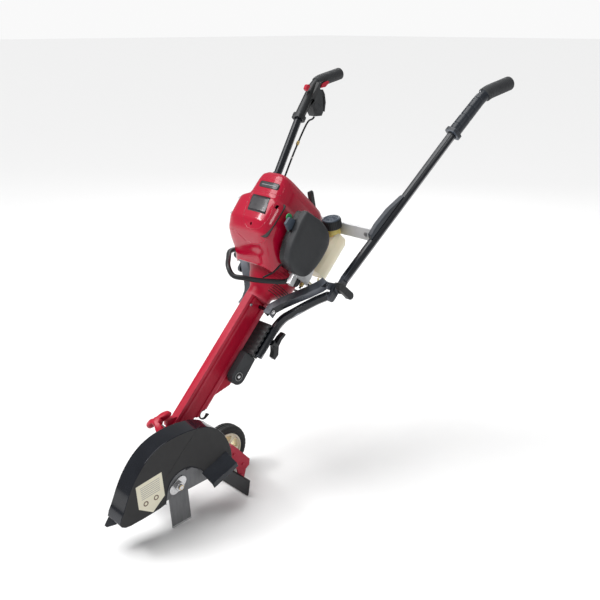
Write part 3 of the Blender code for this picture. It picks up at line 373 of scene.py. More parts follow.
def material(name, colour, roughness, metallic=0.0, grain=900.0, depth=0.12, mottle=0.15, painted_edge_highlight=0.0,
             painted_highlight_colour=None, coat=0.0, glow=0.0, stretch=(1, 1, 1), clear=0.0, rough_spread=0.10,
             shine=0.5):
    """Principled surface with drifting colour, fine grain, uneven gloss and painted highlights that lighten
    convex edges.
    """
    made = bpy.data.materials.new(name)
    made.use_nodes = True
    tree = made.node_tree
    shader = tree.nodes["Principled BSDF"]
    link = tree.links.new
    place = node_of(tree, "ShaderNodeTexCoord")
    mapping = node_of(tree, "ShaderNodeMapping", Scale=stretch)
    link(place.outputs["Object"], mapping.inputs["Vector"])

    drift = node_of(tree, "ShaderNodeTexNoise", Scale=22.0, Detail=6.0, Roughness=0.6)
    link(mapping.outputs["Vector"], drift.inputs["Vector"])
    tint = node_of(tree, "ShaderNodeMix", data_type="RGBA")
    dark = [channel * (1 - mottle) for channel in colour]
    light = [min(1.0, channel * (1 + mottle) + 0.004 * mottle) for channel in colour]
    tint.inputs[6].default_value = (*dark, 1)
    tint.inputs[7].default_value = (*light, 1)
    link(drift.outputs["Fac"], tint.inputs[0])
    surface = tint.outputs[2]

    fine = node_of(tree, "ShaderNodeTexNoise", Scale=grain, Detail=3.0, Roughness=0.55)
    link(mapping.outputs["Vector"], fine.inputs["Vector"])

    # Painted highlight: convex edges found by pointiness are mixed towards a lighter colour, made patchy by
    # the drift noise.
    if painted_edge_highlight:
        geometry = node_of(tree, "ShaderNodeNewGeometry")
        edge = node_of(tree, "ShaderNodeMapRange", **{"From Min": 0.515, "From Max": 0.60, "To Max": painted_edge_highlight})
        link(geometry.outputs["Pointiness"], edge.inputs["Value"])
        patchy = node_of(tree, "ShaderNodeMath", operation="MULTIPLY")
        link(edge.outputs["Result"], patchy.inputs[0])
        link(drift.outputs["Fac"], patchy.inputs[1])
        highlighted = node_of(tree, "ShaderNodeMix", data_type="RGBA")
        link(patchy.outputs["Value"], highlighted.inputs[0])
        link(surface, highlighted.inputs[6])
        highlighted.inputs[7].default_value = (*(painted_highlight_colour or [min(1, c * 2 + 0.15) for c in colour]), 1)
        surface = highlighted.outputs[2]
    link(surface, shader.inputs["Base Color"])

    gloss = node_of(tree, "ShaderNodeMapRange", **{"To Min": max(0.03, roughness - rough_spread),
                                                   "To Max": min(1.0, roughness + rough_spread)})
    smear = node_of(tree, "ShaderNodeTexNoise", Scale=60.0, Detail=5.0, Roughness=0.65)
    link(mapping.outputs["Vector"], smear.inputs["Vector"])
    link(smear.outputs["Fac"], gloss.inputs["Value"])
    link(gloss.outputs["Result"], shader.inputs["Roughness"])

    bump = node_of(tree, "ShaderNodeBump", Strength=depth, Distance=0.0004)
    link(fine.outputs["Fac"], bump.inputs["Height"])
    link(bump.outputs["Normal"], shader.inputs["Normal"])
    for socket, value in (("Metallic", metallic), ("Coat Weight", coat), ("Coat Roughness", 0.06),
                          ("Subsurface Weight", glow), ("Subsurface Radius", (0.02, 0.014, 0.008)),
                          ("Subsurface Scale", 1.0), ("Transmission Weight", clear),
                          ("Specular IOR Level", shine)):
        shader.inputs[socket].default_value = value
    return made


# Colour, roughness, and what differs from the defaults of material(); the lighter edge colours are painted
# highlights.
LOOK_VALUES = {
    "red_paint": ((0.40, 0.002, 0.024), 0.40,
        dict(painted_edge_highlight=0.55, painted_highlight_colour=(0.85, 0.25, 0.32), depth=0.08, shine=0.22)),
    "red_gloss": ((0.42, 0.002, 0.027), 0.18,
        dict(painted_edge_highlight=0.25, painted_highlight_colour=(0.9, 0.25, 0.3), coat=0.35, depth=0.03, rough_spread=0.05, mottle=0.06,
             shine=0.35)),
    "red_plastic": ((0.42, 0.003, 0.024), 0.34, dict(painted_edge_highlight=0.3, depth=0.06, shine=0.3)),
    "guard_black": ((0.003, 0.004, 0.007), 0.09,
        dict(painted_edge_highlight=0.3, coat=0.15, depth=0.02, painted_highlight_colour=(0.30, 0.34, 0.42), rough_spread=0.03, shine=0.3)),
    "guard_face": ((0.030, 0.030, 0.031), 0.62, dict(depth=0.25, grain=1400, mottle=0.10, shine=0.3)),
    "black_tube": ((0.007, 0.009, 0.013), 0.24,
        dict(painted_edge_highlight=0.9, painted_highlight_colour=(0.55, 0.6, 0.7), depth=0.05, shine=0.45)),
    "black_plastic": ((0.008, 0.009, 0.010), 0.42,
        dict(painted_edge_highlight=0.35, depth=0.3, grain=1100, painted_highlight_colour=(0.12, 0.13, 0.14), shine=0.35)),
    "black_rubber": ((0.008, 0.009, 0.011), 0.42, dict(depth=0.25, grain=700, shine=0.4)),
    "grey_rubber": ((0.030, 0.032, 0.035), 0.62, dict(depth=0.4, grain=800, painted_edge_highlight=0.3, shine=0.4)),
    "slate_plastic": ((0.014, 0.018, 0.025), 0.36,
        dict(painted_edge_highlight=0.5, depth=0.2, painted_highlight_colour=(0.25, 0.3, 0.38), shine=0.4)),
    "slate_light": ((0.045, 0.062, 0.085), 0.42,
        dict(painted_edge_highlight=0.4, depth=0.2, painted_highlight_colour=(0.25, 0.3, 0.38), shine=0.4)),
    "link_grey": ((0.022, 0.024, 0.027), 0.55,
        dict(painted_edge_highlight=0.5, depth=0.3, grain=1200, painted_highlight_colour=(0.16, 0.17, 0.18), shine=0.3)),
    "charcoal_plastic": ((0.026, 0.028, 0.031), 0.52, dict(depth=0.45, grain=1500, painted_edge_highlight=0.2, shine=0.35)),
    "bar_silver": ((0.56, 0.57, 0.58), 0.42, dict(metallic=0.25, grain=600, depth=0.15, painted_edge_highlight=0.3)),
    "cream_plastic": ((0.80, 0.73, 0.54), 0.36, dict(glow=0.25, depth=0.08, mottle=0.05)),
    "blade_steel": ((0.13, 0.133, 0.14), 0.42,
        dict(metallic=0.6, grain=300, depth=0.2, stretch=(1, 6, 1), painted_edge_highlight=0.5, painted_highlight_colour=(0.6, 0.6, 0.6))),
    "bright_steel": ((0.60, 0.60, 0.61), 0.27, dict(metallic=1.0, grain=500, depth=0.12, painted_edge_highlight=0.2)),
    "cast_aluminium": ((0.56, 0.57, 0.58), 0.42, dict(metallic=0.9, grain=800, depth=0.35, painted_edge_highlight=0.3)),
    "tyre_rubber": ((0.012, 0.0125, 0.013), 0.66,
        dict(depth=0.5, grain=600, painted_edge_highlight=0.4, painted_highlight_colour=(0.09, 0.09, 0.09), mottle=0.3)),
    "label_black": ((0.014, 0.012, 0.016), 0.30, dict(depth=0.03, coat=0.3)),
    "label_grey": ((0.30, 0.30, 0.31), 0.40, dict(depth=0.03)),
    "sticker_cream": ((0.80, 0.76, 0.60), 0.42, dict(depth=0.05, mottle=0.05)),
    "sticker_mark": ((0.16, 0.10, 0.06), 0.45, dict(depth=0.03)),
    "brass": ((0.62, 0.45, 0.18), 0.32, dict(metallic=1.0, grain=500, depth=0.15)),
    "green_plastic": ((0.02, 0.30, 0.10), 0.45, dict(depth=0.15)),
    "yellow_neck": ((0.74, 0.58, 0.16), 0.40, dict(depth=0.10, glow=0.15)),
    "pale_tube": ((0.72, 0.60, 0.56), 0.30, dict(depth=0.05, glow=0.3, clear=0.2)),
    "white_tie": ((0.75, 0.75, 0.73), 0.45, dict(depth=0.1)),
    "thread_grey": ((0.34, 0.34, 0.35), 0.42, dict(metallic=0.8, depth=0.2)),
    "deep_black": ((0.004, 0.004, 0.005), 0.7, dict(depth=0.1)),
}
LOOKS = {name: material(name, colour, roughness, **more)
         for name, (colour, roughness, more) in LOOK_VALUES.items()}
SLOT_OF = {row["node"]: row["material_slot"] for row in frame["record"]["subparts"]}


# ---------------------------------------------------------------- pieces

def set_up(piece, finish, body, nodes, bevel, segments):
    """Surface, rounded edges and body of a piece."""
    piece.data.materials.append(LOOKS[finish])
    if bevel:
        rounding = piece.modifiers.new("rounding", "BEVEL")
        rounding.width = bevel * MM
        rounding.segments = segments
        rounding.limit_method = "ANGLE"
        rounding.angle_limit = math.radians(32)
        rounding.harden_normals = False
        rounding.miter_outer = "MITER_ARC"
    if nodes:
        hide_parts(*nodes)
    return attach(piece, body)


def placed(name, bm):
    """Object with a mesh given in world millimetres, which is freed."""
    bmesh.ops.recalc_face_normals(bm, faces=bm.faces)
    bm.transform(Matrix.Scale(MM, 4))
    mesh = bpy.data.meshes.new(name)
    bm.to_mesh(mesh)
    bm.free()
    made = bpy.data.objects.new(name, mesh)
    bpy.context.scene.collection.objects.link(made)
    return made


def add_piece(name, bm, finish, body, nodes=(), bevel=0.0, segments=2, angle=38):
    """Piece from a mesh in world millimetres."""
    piece = placed(name, bm)
    piece.data.shade_smooth()
    piece.data.set_sharp_from_angle(angle=math.radians(angle))
    return set_up(piece, finish, body, nodes, bevel, segments)


def cut_with(piece, tools):
    """Cuts bodies in world millimetres out of a piece, before its edges are rounded."""
    helpers = []
    for tool in tools:
        helper = placed("helper", tool)
        helpers.append(helper)
        modifier = piece.modifiers.new("cut", "BOOLEAN")
        modifier.operation = "DIFFERENCE"
        modifier.solver = "EXACT"
        modifier.object = helper
    bpy.context.view_layer.update()
    solid = bpy.data.meshes.new_from_object(piece.evaluated_get(bpy.context.evaluated_depsgraph_get()))
    piece.modifiers.clear()
    piece.data = solid
    for helper in helpers:
        bpy.data.objects.remove(helper)
    bm = bmesh.new()
    bm.from_mesh(solid)
    bmesh.ops.remove_doubles(bm, verts=bm.verts, dist=2e-6)
    bmesh.ops.dissolve_limit(bm, angle_limit=0.01, verts=bm.verts, edges=bm.edges)
    bm.to_mesh(solid)
    bm.free()
    solid.shade_smooth()
    solid.set_sharp_from_angle(angle=math.radians(38))
    return piece


def dress(node, bevel=0.5, segments=2, finish=None, angle=38):
    """A CAD node's own shape with rounded edges and its full surface."""
    source = frame["nodes"][node]
    bm = bmesh.new()
    bm.from_mesh(source.data)
    bmesh.ops.remove_doubles(bm, verts=bm.verts, dist=2e-6)
    bmesh.ops.dissolve_limit(bm, angle_limit=0.012, verts=bm.verts, edges=bm.edges)
    bm.transform(Matrix.Scale(1 / MM, 4))
    return add_piece(node + "_skin", bm, finish or SLOT_OF[node], source["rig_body"], (node,), bevel, segments,
                     angle)


def tube_piece(name, points, radius, finish, body="root", nodes=(), closed=False):
    """Round cable, hose, bead or wire along points in world millimetres."""
    curve = bpy.data.curves.new(name, "CURVE")
    curve.dimensions = "3D"
    curve.bevel_depth = radius * MM
    curve.bevel_resolution = 5
    curve.use_fill_caps = True
    spline = curve.splines.new("POLY")
    spline.points.add(len(points) - 1)
    spline.use_cyclic_u = closed
    for target, point in zip(spline.points, points):
        target.co = (*(point * MM), 1.0)
    piece = bpy.data.objects.new(name, curve)
    bpy.context.scene.collection.objects.link(piece)
    return set_up(piece, finish, body, nodes, 0.0, 0)


def turned(name, place, profile, segments, finish, body="root", nodes=(), **rest):
    """Piece turned about the frame's Z axis."""
    return add_piece(name, revolve(place, profile, segments), finish, body, nodes, **rest)


def flat(name, place, outline, low, high, finish, body="root", nodes=(), holes=(), **rest):
    """Flat piece between two heights of the frame."""
    return add_piece(name, plate(place, outline, low, high, holes), finish, body, nodes, **rest)


def hex_bolt(name, place, radius, height, body, finish="bright_steel"):
    """Hexagonal head with a washer under it, standing on the frame's origin."""
    washer = [(0, 0), (radius * 1.35, 0), (radius * 1.35, 0.9), (0, 0.9)]
    turned(name + "_washer", place, washer, 32, finish, body, bevel=0.2)
    flat(name, place, circle(radius, 6), 0.9, height, finish, body, bevel=0.5)


def fluted(radius, ridges=6, depth=1.3, count=48):
    """Tube section with hollow faces between narrow ridges."""
    points = []
    for index in range(count):
        angle = 2 * math.pi * index / count
        reach = radius - depth * abs(math.sin(ridges * angle / 2)) ** 0.6
        points.append((reach * math.cos(angle), reach * math.sin(angle)))
    return points


# ---------------------------------------------------------------- cutting head

# Degrees from straight back, and distance from the blade's axis.
GUARD_RIM = (
    (3, 146.5), (11, 148.5), (20, 149.5), (32, 149.5), (43, 148), (52, 144), (62, 137.5), (73, 130.5),
    (84, 126), (95, 124), (107, 123.5), (120, 123.5), (133, 123.5), (146, 124.5), (157, 127), (167, 131),
    (175, 136), (181, 142), (186, 150))


def guard_rim(inset=0.0):
    """Smooth line of points along the guard's rim."""
    points = []
    for degrees, radius in GUARD_RIM:
        angle = math.radians(degrees)
        points.append(Vector(((radius - inset) * math.cos(angle), (radius - inset) * math.sin(angle))))
    return [tuple(point) for point in smooth_path(points, 4)]


def make_guard():
    """Guard with a matte outer face and a glossy rim, its chute, sticker and bolts."""
    front = [(-153, -28), (-149, -35), (-140, -40), (-127, -41), (-93, -38), (-55, -32.5), (-39, -28)]
    arch = [Vector(point) for point in ((-39, -28), (-36, -10), (-30, 11), (-20, 25), (-6, 34), (10, 38.5),
                                        (29, 37), (45, 28), (60, 17), (66, 8))]
    face = guard_rim() + front + [tuple(point) for point in smooth_path(arch, 3)][1:] + [(146, 3)]
    guard = flat("guard_skin", UPRIGHT_SIDE, face, GUARD_BACK, GUARD_FACE, "guard_black", "root",
                 ("blade_guard",))
    hollow = guard_rim(GUARD_WALL)[2:-2] + [(-136, -80), (146, -70)]
    cut_with(guard, [plate(UPRIGHT_SIDE, hollow, 63.0, GUARD_FACE - GUARD_WALL)])
    guard.data.materials.append(LOOKS["guard_face"])
    for polygon in guard.data.polygons:
        if polygon.normal.x > 0.95 and polygon.center.x > 0.11:
            polygon.material_index = 1
    rounding = guard.modifiers.new("rounding", "BEVEL")
    rounding.width = 1.8 * MM
    rounding.segments = 4
    rounding.limit_method = "ANGLE"
    rounding.angle_limit = math.radians(40)
    rounding.material = 0
    lip = [rest_point(GUARD_FACE + 0.2, u, v) for u, v in smooth_path(arch, 3)]
    tube_piece("guard_lip", lip, 1.0, "guard_black")
    crease = [rest_point(*place) for place in ((GUARD_FACE, 60, 128), (GUARD_FACE + 0.1, 20, 90),
                                               (GUARD_FACE, -40, 30))]
    tube_piece("guard_crease", resampled(crease, 8), 0.35, "guard_face")
    dress("discharge_chute", 0.8, 3)
    sticker = [(-110, 44), (-45, 55), (-40, -4), (-72, -32), (-106, -11)]
    flat("guard_sticker", UPRIGHT_SIDE, sticker, 111.05, 111.35, "sticker_cream", bevel=0.1)
    for row in range(7):
        up = 40 - 4.6 * row
        left = -100 + 0.5 * row
        line = [(left, up - 4.5), (-51, up + 3.3 - 1.0 * row * 0.2), (-51, up + 4.5 - 1.0 * row * 0.2),
                (left, up - 3.3)]
        flat("sticker_line_%d" % row, UPRIGHT_SIDE, line, 111.3, 111.42, "label_grey")
    for index, (back, up) in enumerate(((-88, -4), (-62, 0))):
        ring = [(6.2, 111.3), (6.2, 111.45), (3.6, 111.45), (3.6, 111.3)]
        turned("sticker_ring_%d" % index, shifted(UPRIGHT_SIDE, back, up), ring, 40, "sticker_mark")
    back_plate = guard_rim(0.6)[:-8] + [(-145, -24), (-155, -38), (-162, -48), (-158, -54), (-132, -58),
                                        (-60, -46), (40, -40), (100, -20)]
    flat("guard_back", UPRIGHT_SIDE, back_plate, 60.35, 62.8, "guard_black", holes=[circle(11, 40)],
         bevel=0.6)
    for index, (back, up) in enumerate(((-22, -22), (24, -22), (0, 30))):
        place = matrix_from_axes((0, 1, 0), (0, 0, -1), (-1, 0, 0), rest_point(60.0, back, up))
        hex_bolt("guard_bolt_%d" % index, place, 4.6, 4.0, "root")


def make_cutter():
    """Blade with ground edges, oval flange and the nut on its thread."""
    dress("blade", 0.35, 2)
    dress("blade_flange", 0.7, 3)
    dress("blade_shaft", 0.3, 2)
    place = shifted(UPRIGHT_SIDE, 0, 0)
    flat("nut_skin", place, circle(11, 6), 104.7, 112.7, "bright_steel", "cutter", ("blade_nut",),
         [circle(6.4, 40)], bevel=0.9, segments=3)
    thread = []
    for index in range(11):
        thread += [(5.2, 112.9 + 0.45 * index), (5.9, 113.12 + 0.45 * index)]
    turned("shaft_thread", place, [(0, 112.8)] + thread + [(5.0, 117.9), (0, 118.0)], 48, "brass", "cutter")
    for arm in range(4):
        turn = UPRIGHT_SIDE @ Matrix.Rotation(math.radians(-86 + 90 * arm), 4, "Z")
        bevelled = [(97.5, -25.0), (101.6, -25.0), (101.6, 25.0), (97.5, 25.0)]
        flat("blade_edge_%d" % arm, turn, bevelled, 101.4, 101.58, "bright_steel", "cutter", bevel=0.1)


# ---------------------------------------------------------------- beam

def make_beam_trim():
    """Beam skin, boss details, clip and depth knob."""
    dress("main_beam", 0.7, 3)
    dress("beam_clip", 0.6, 2)
    for index, (along, across) in enumerate(((82, -18), (440, 6))):
        place = shifted(BEAM_SIDE, along, across) @ Matrix.Translation((0, 0, 8.0))
        hex_bolt("beam_bolt_%d" % index, place, 4.2, 4.4, "root")
    place = BEAM @ Matrix.Translation(KNOB_FOOT) @ Matrix.Rotation(-math.radians(KNOB_LEAN), 4, "X")
    count = 108

    def lobed(base, lobe, height, droop=0.0):
        ring = []
        for index in range(count):
            angle = 2 * math.pi * index / count
            share = max(0.0, math.cos(3 * angle)) ** 0.7
            reach = base + lobe * share
            turn = angle + math.radians(88)
            ring.append(place @ Vector((reach * math.cos(turn), reach * math.sin(turn),
                                        height - droop * share)))
        return ring

    rings = [lobed(*sizes) for sizes in (
        (6.5, 0, 27.0), (7.5, 0, 28.0), (9.5, 10, 29.5, 3), (10.5, 20.5, 30.2, 6.2), (11.5, 23.7, 31.5, 8),
        (12, 24.8, 34, 9), (12, 24.2, 37.5, 8.9), (12, 22.8, 41, 8), (10.8, 18, 43.8, 6.2),
        (9, 12, 45.4, 4.6), (6, 5, 45.9, 2.0))]
    add_piece("knob_skin", loft(rings), "red_plastic", "depth_knob", ("depth_knob",), angle=60)
    thread = [(0, -8)]
    for index in range(24):
        thread += [(3.4, -7.8 + 1.45 * index), (4.0, -7.1 + 1.45 * index)]
    turned("knob_screw", place, thread + [(0, 27.2)], 40, "thread_grey", "depth_knob")


def make_wheel_trim():
    """Ribbed tyre, moulded hub, bracket, axle and flap."""
    wheel_frame = shifted(UPRIGHT_SIDE, *WHEEL_AXLE)
    profile = [(42, -34), (46, -35.1), (50, -36), (54, -35.7), (57.2, -34.7), (59.6, -32.3), (60.5, -29.6),
               (60.9, -27.4), (59.0, -27), (59.0, -25.7), (61.0, -25.3), (61.0, -22.2), (58.4, -21.8),
               (58.4, -18.2), (61.0, -17.8), (61.0, -14.7), (59.0, -14.3), (59.0, -13), (60.9, -12.6),
               (60.5, -10.4), (59.6, -7.7), (57.2, -5.3), (54, -4.3), (50, -4), (46, -4.9), (42, -6)]
    shoulder = {4, 5, 6, 19, 20, 21}

    def lugs(row, index):
        return -1.5 if row in shoulder and index % 5 == 0 else 0.0

    add_piece("tyre_skin", revolve(wheel_frame, profile, 180, lugs), "tyre_rubber", "wheel", ("wheel_tyre",),
              angle=50)
    for radius, side in ((47.5, -4.2), (53.0, -4.4), (47.5, -35.8), (53.0, -35.6)):
        line = [wheel_frame @ Vector((u, v, side)) for u, v in circle(radius, 90)]
        tube_piece("tyre_ring_%d_%d" % (radius, side + 40), line, 0.5, "tyre_rubber", "wheel", closed=True)
    dress("wheel_hub", 0.9, 3)
    for name, low, high in (("front", -9.5, -5.0), ("back", -35.0, -30.5)):
        ring = [(41.6, low), (41.6, high), (38.0, high), (37.0, low)]
        turned("hub_rim_" + name, wheel_frame, ring, 96, "cream_plastic", "wheel", bevel=0.4)
    boss = [(13, -36.5), (13, -3.5), (10.5, -2.6), (6.5, -2.6), (6.5, -36.5)]
    turned("hub_boss", wheel_frame, boss, 64, "cream_plastic", "wheel", bevel=0.6)
    dress("wheel_bracket", 0.6, 2)
    dress("wheel_axle", 0.4, 2)
    dress("rubber_flap", 0.8, 3)
    hex_bolt("axle_nut", wheel_frame @ Matrix.Translation((0, 0, 24.6)), 7.5, 7.5, "wheel_arm")
    for index, (back, up) in enumerate(((186, -12), (212, -48), (205, -74))):
        place = shifted(UPRIGHT_SIDE, back, up) @ Matrix.Translation((0, 0, 67.8))
        hex_bolt("bracket_bolt_%d" % index, place, 3.0, 3.0, "wheel_arm", "red_paint")
    for index, side in enumerate((20, 42, 64, 86, 108)):
        fold = [rest_point(side, 188.5, -60), rest_point(side + 1, 187.0, -80),
                rest_point(side - 1, 184.0, -99)]
        tube_piece("flap_fold_%d" % index, smooth_path(fold, 5), 0.9, "black_rubber", "wheel_arm")


# ---------------------------------------------------------------- handle

def make_mount_trim():
    """Ribbed saddle, link plates with their pivot, lock lever."""
    section = [(-76, -38), (-76, 38), (-50.3, 38), (-50.3, 53), (-44.3, 53), (-44.3, -53), (-50.3, -53),
               (-50.3, -38)]
    rings = []
    along = 338.0
    for _ in range(7):
        for inset, reach in ((0.0, 0.6), (0.0, 6.8), (2.2, 8.0), (2.2, 12.4)):
            place = along + reach
            ring = []
            for across, side in section:
                trimmed = max(-76 + inset, across)
                moved = math.copysign(abs(side) - inset, side)
                ring.append(beam_point(moved, min(place, 430.0), trimmed))
            rings.append(ring)
        along += 13.2
    rings = rings[:-2]
    add_piece("mount_skin", loft(rings), "black_plastic", "root", ("handle_mount",), bevel=0.8)
    dress("link_yoke", 1.0, 3, "link_grey")
    pivot = shifted(BEAM_SIDE, *LUG_PIVOT)
    ring = [(10.8, 34.4), (10.8, 35.9), (9.4, 35.9), (9.4, 34.4)]
    disc = [(0, 34.3), (9.4, 34.3), (9.4, 35.2), (0, 35.2)]
    bolt = [(0, 34.8), (4.6, 34.8), (4.4, 36.2), (3.2, 37.4), (0, 37.8)]
    turned("link_ring", pivot, ring, 64, "label_grey", bevel=0.3)
    turned("link_disc", pivot, disc, 48, "deep_black")
    turned("link_bolt", pivot, bolt, 40, "bright_steel")
    dress("lock_lever", 1.6, 3)
    dress("struts", 0.7, 2)
    for side in (1, -1):
        turn = matrix_from_axes((0, 1, 0), (0, 0, side), (side, 0, 0), beam_point(side * 57.2, 449.5, -25))
        hex_bolt("strut_bolt_%s" % ("left" if side > 0 else "right"), turn, 3.8, 3.6, "root")


def make_tubes():
    """Fluted handle tubes with their eyes, sleeve, grips, mouldings, crossbar and clamp levers."""
    local = BEAM.inverted() @ rest_point(0, FOLD[1], FOLD[2])
    along, across = local.y, local.z
    up = BEAM.to_3x3() @ Vector((0, 0, 1))
    for name, side in (("left", 1), ("right", -1)):
        route = [beam_point(side * x, a, c) for x, a, c in
                 ((50, 343, -64), (50, 380, -64), (52, 420, -63), (62, 451, -61), (80, 472, -60),
                  (122, 517, -60), (155, 544, -59.5))]
        pipe = sweep(smooth_path(route, 8), lambda walked: fluted(TUBE_RADIUS), up=up, bore=9.0)
        add_piece("lower_tube_skin_" + name, pipe, "black_tube", "root", ("lower_tube_" + name,), bevel=0.3)
        low, high = sorted((side * 160.2, side * 168.6))
        eye = capsule((540, -59.4), 10, (along, across), 12, 20)
        eye_hole = [circle(4.4, 32, (along, across))]
        flat("lower_eye_" + name, BEAM_SIDE, eye, low, high, "black_tube", holes=eye_hole, bevel=1.2,
             segments=3)

        route = upper_route(side)
        total = length_of(route)
        line = resampled(part_of(route, 0, total - 4), 24)
        add_piece("upper_tube_skin_" + name,
                  sweep(line, lambda walked: fluted(TUBE_RADIUS), up=HANDLE_UP, bore=9.5),
                  "black_tube", "upper_handle", ("upper_tube_" + name,), bevel=0.3)
        low, high = sorted((side * 170.4, side * 178.8))
        eye = capsule((along, across), 12, (along + 27, across + 1.5), 10.5, 20)
        flat("upper_eye_" + name, BEAM_SIDE, eye, low, high, "black_tube", "upper_handle", holes=eye_hole,
             bevel=1.2, segments=3)

        def grip_section(walked):
            near = min(walked, GRIP_LENGTH - walked)
            reach = 17.0
            if near > 6 and math.fmod(walked, 6.0) < 2.1:
                reach = 15.7
            if near < 1.2:
                reach = 15.6
            return circle(reach, 56)

        grip = resampled(part_of(route, total - GRIP_LENGTH, total), 0.9)
        add_piece("grip_skin_" + name, sweep(grip, grip_section, up=HANDLE_UP, bore=11.8),
                  "grey_rubber", "upper_handle", ("grip_" + name,), angle=70)
        dress("side_moulding_" + name, 2.2, 4)

        lever_frame = shifted(BEAM_SIDE, along, across)
        lever = "fold_lever_" + name
        body = []
        for index, (u, v) in enumerate(capsule((0, 16), 8.5, (0, -27), 9, 24)):
            body.append((u * (0.9 if index % 3 == 0 else 1.0), v))
        low, high = sorted((side * 179.3, side * 193))
        flat("fold_lever_skin_" + name, lever_frame, body, low, high, "black_plastic", lever, (lever,),
             bevel=1.6, segments=3)
        low, high = sorted((side * 148, side * 181))
        pin = [(0, low), (3.9, low), (3.9, high), (0, high)]
        turned("fold_pin_" + name, lever_frame, pin, 32, "bright_steel", lever, bevel=0.3)
        low, high = sorted((side * 148, side * 154.5))
        flat("fold_nut_" + name, lever_frame, circle(7, 6), low, high, "bright_steel", lever, bevel=0.5)
        for rib in range(4):
            place = lever_frame @ Matrix.Translation((0, -18 + 10 * rib, side * 192.6))
            bar = rounded_box((0, 0), 6.0, 1.3, 1.2)
            flat("fold_rib_%s_%d" % (name, rib), place, bar, -0.4, 0.8, "black_plastic", lever, bevel=0.3)

    route = upper_route(1)
    start = (route[1] - route[0]).length

    def sleeve_section(walked):
        if walked < 11:
            return superellipse(17, -17, 17, 48)
        return circle(15.4 - 0.012 * walked - (0.8 if math.fmod(walked, 26.0) < 2.0 else 0.0), 48)

    sleeve = resampled(part_of(route, start, length_of(route) - GRIP_LENGTH + 1), 1.5)
    add_piece("sleeve_skin", sweep(sleeve, sleeve_section, up=HANDLE_UP, bore=11.9), "slate_plastic",
              "upper_handle", ("handle_sleeve",), angle=50)
    dress("crossbar", 0.6, 2, "bar_silver")
    for side in (1, -1):
        back = FOLD[1] + (COLLAR[1] - FOLD[1]) * CROSSBAR_SHARE
        height = FOLD[2] + (COLLAR[2] - FOLD[2]) * CROSSBAR_SHARE
        place = matrix_from_axes((1, 0, 0), (0, 0, 1), (0, -1, 0), rest_point(side * 172, back - 7, height))
        hex_bolt("crossbar_bolt_%s" % ("left" if side > 0 else "right"), place, 4.0, 3.4, "upper_handle",
                 "thread_grey")


def make_throttle_trim():
    """Throttle housing with its trigger, switches and screws."""
    dress("throttle_housing", 0.9, 2)
    for node in ("stop_switch", "lock_off_lever", "throttle_trigger"):
        dress(node, 0.9, 3)
    for index, (back, up) in enumerate(((772, 730), (789, 742))):
        place = shifted(UPRIGHT_SIDE, back, up) @ Matrix.Translation((0, 0, -258.4))
        ring = [(3.4, 0), (3.4, 0.8), (2.2, 0.8), (2.0, 0)]
        # The black disc in each screw ring is painted shade for the dark screw well.
        well_shade = [(0, 0.05), (2.2, 0.05), (2.2, 0.3), (0, 0.3)]
        turned("housing_screw_%d" % index, place, ring, 32, "black_plastic", "upper_handle")
        turned("housing_well_shade_%d" % index, place, well_shade, 24, "deep_black", "upper_handle")
    seam = [(768, 760), (766, 745), (768, 728), (776, 718), (792, 716)]
    line = [rest_point(-257.9, back, up) for back, up in seam]
    tube_piece("housing_seam", smooth_path(line, 5), 0.5, "black_plastic", "upper_handle")


CABLES = {
    "throttle_cable_lower": (2.6, "black_rubber", "root",
                             ((-112, 552, -92), (-60, 546, -101), (0, 543, -103), (56, 542, -100),
                              (90, 543, -84), (98, 546, -60), (98, 547, -31.4))),
    "breather_hose": (6.0, "black_rubber", "root",
                      ((-78.6, 556, 36), (-84, 553, 41), (-88, 545, 55), (-76, 528, 76), (-50, 507, 90),
                       (-22, 484, 101), (0, 469, 92), (22, 476, 78), (42, 490, 52), (58, 502, 35),
                       (72, 512, 22), (80, 520, 13), (83.6, 524, 11))),
    "fuel_line": (2.5, "cream_plastic", "root",
                  ((82, 581.6, -74), (82, 577, -78), (83, 569, -86), (86, 560, -87), (88, 556, -74),
                   (88, 556, -52), (88, 556, -31.4))),
}


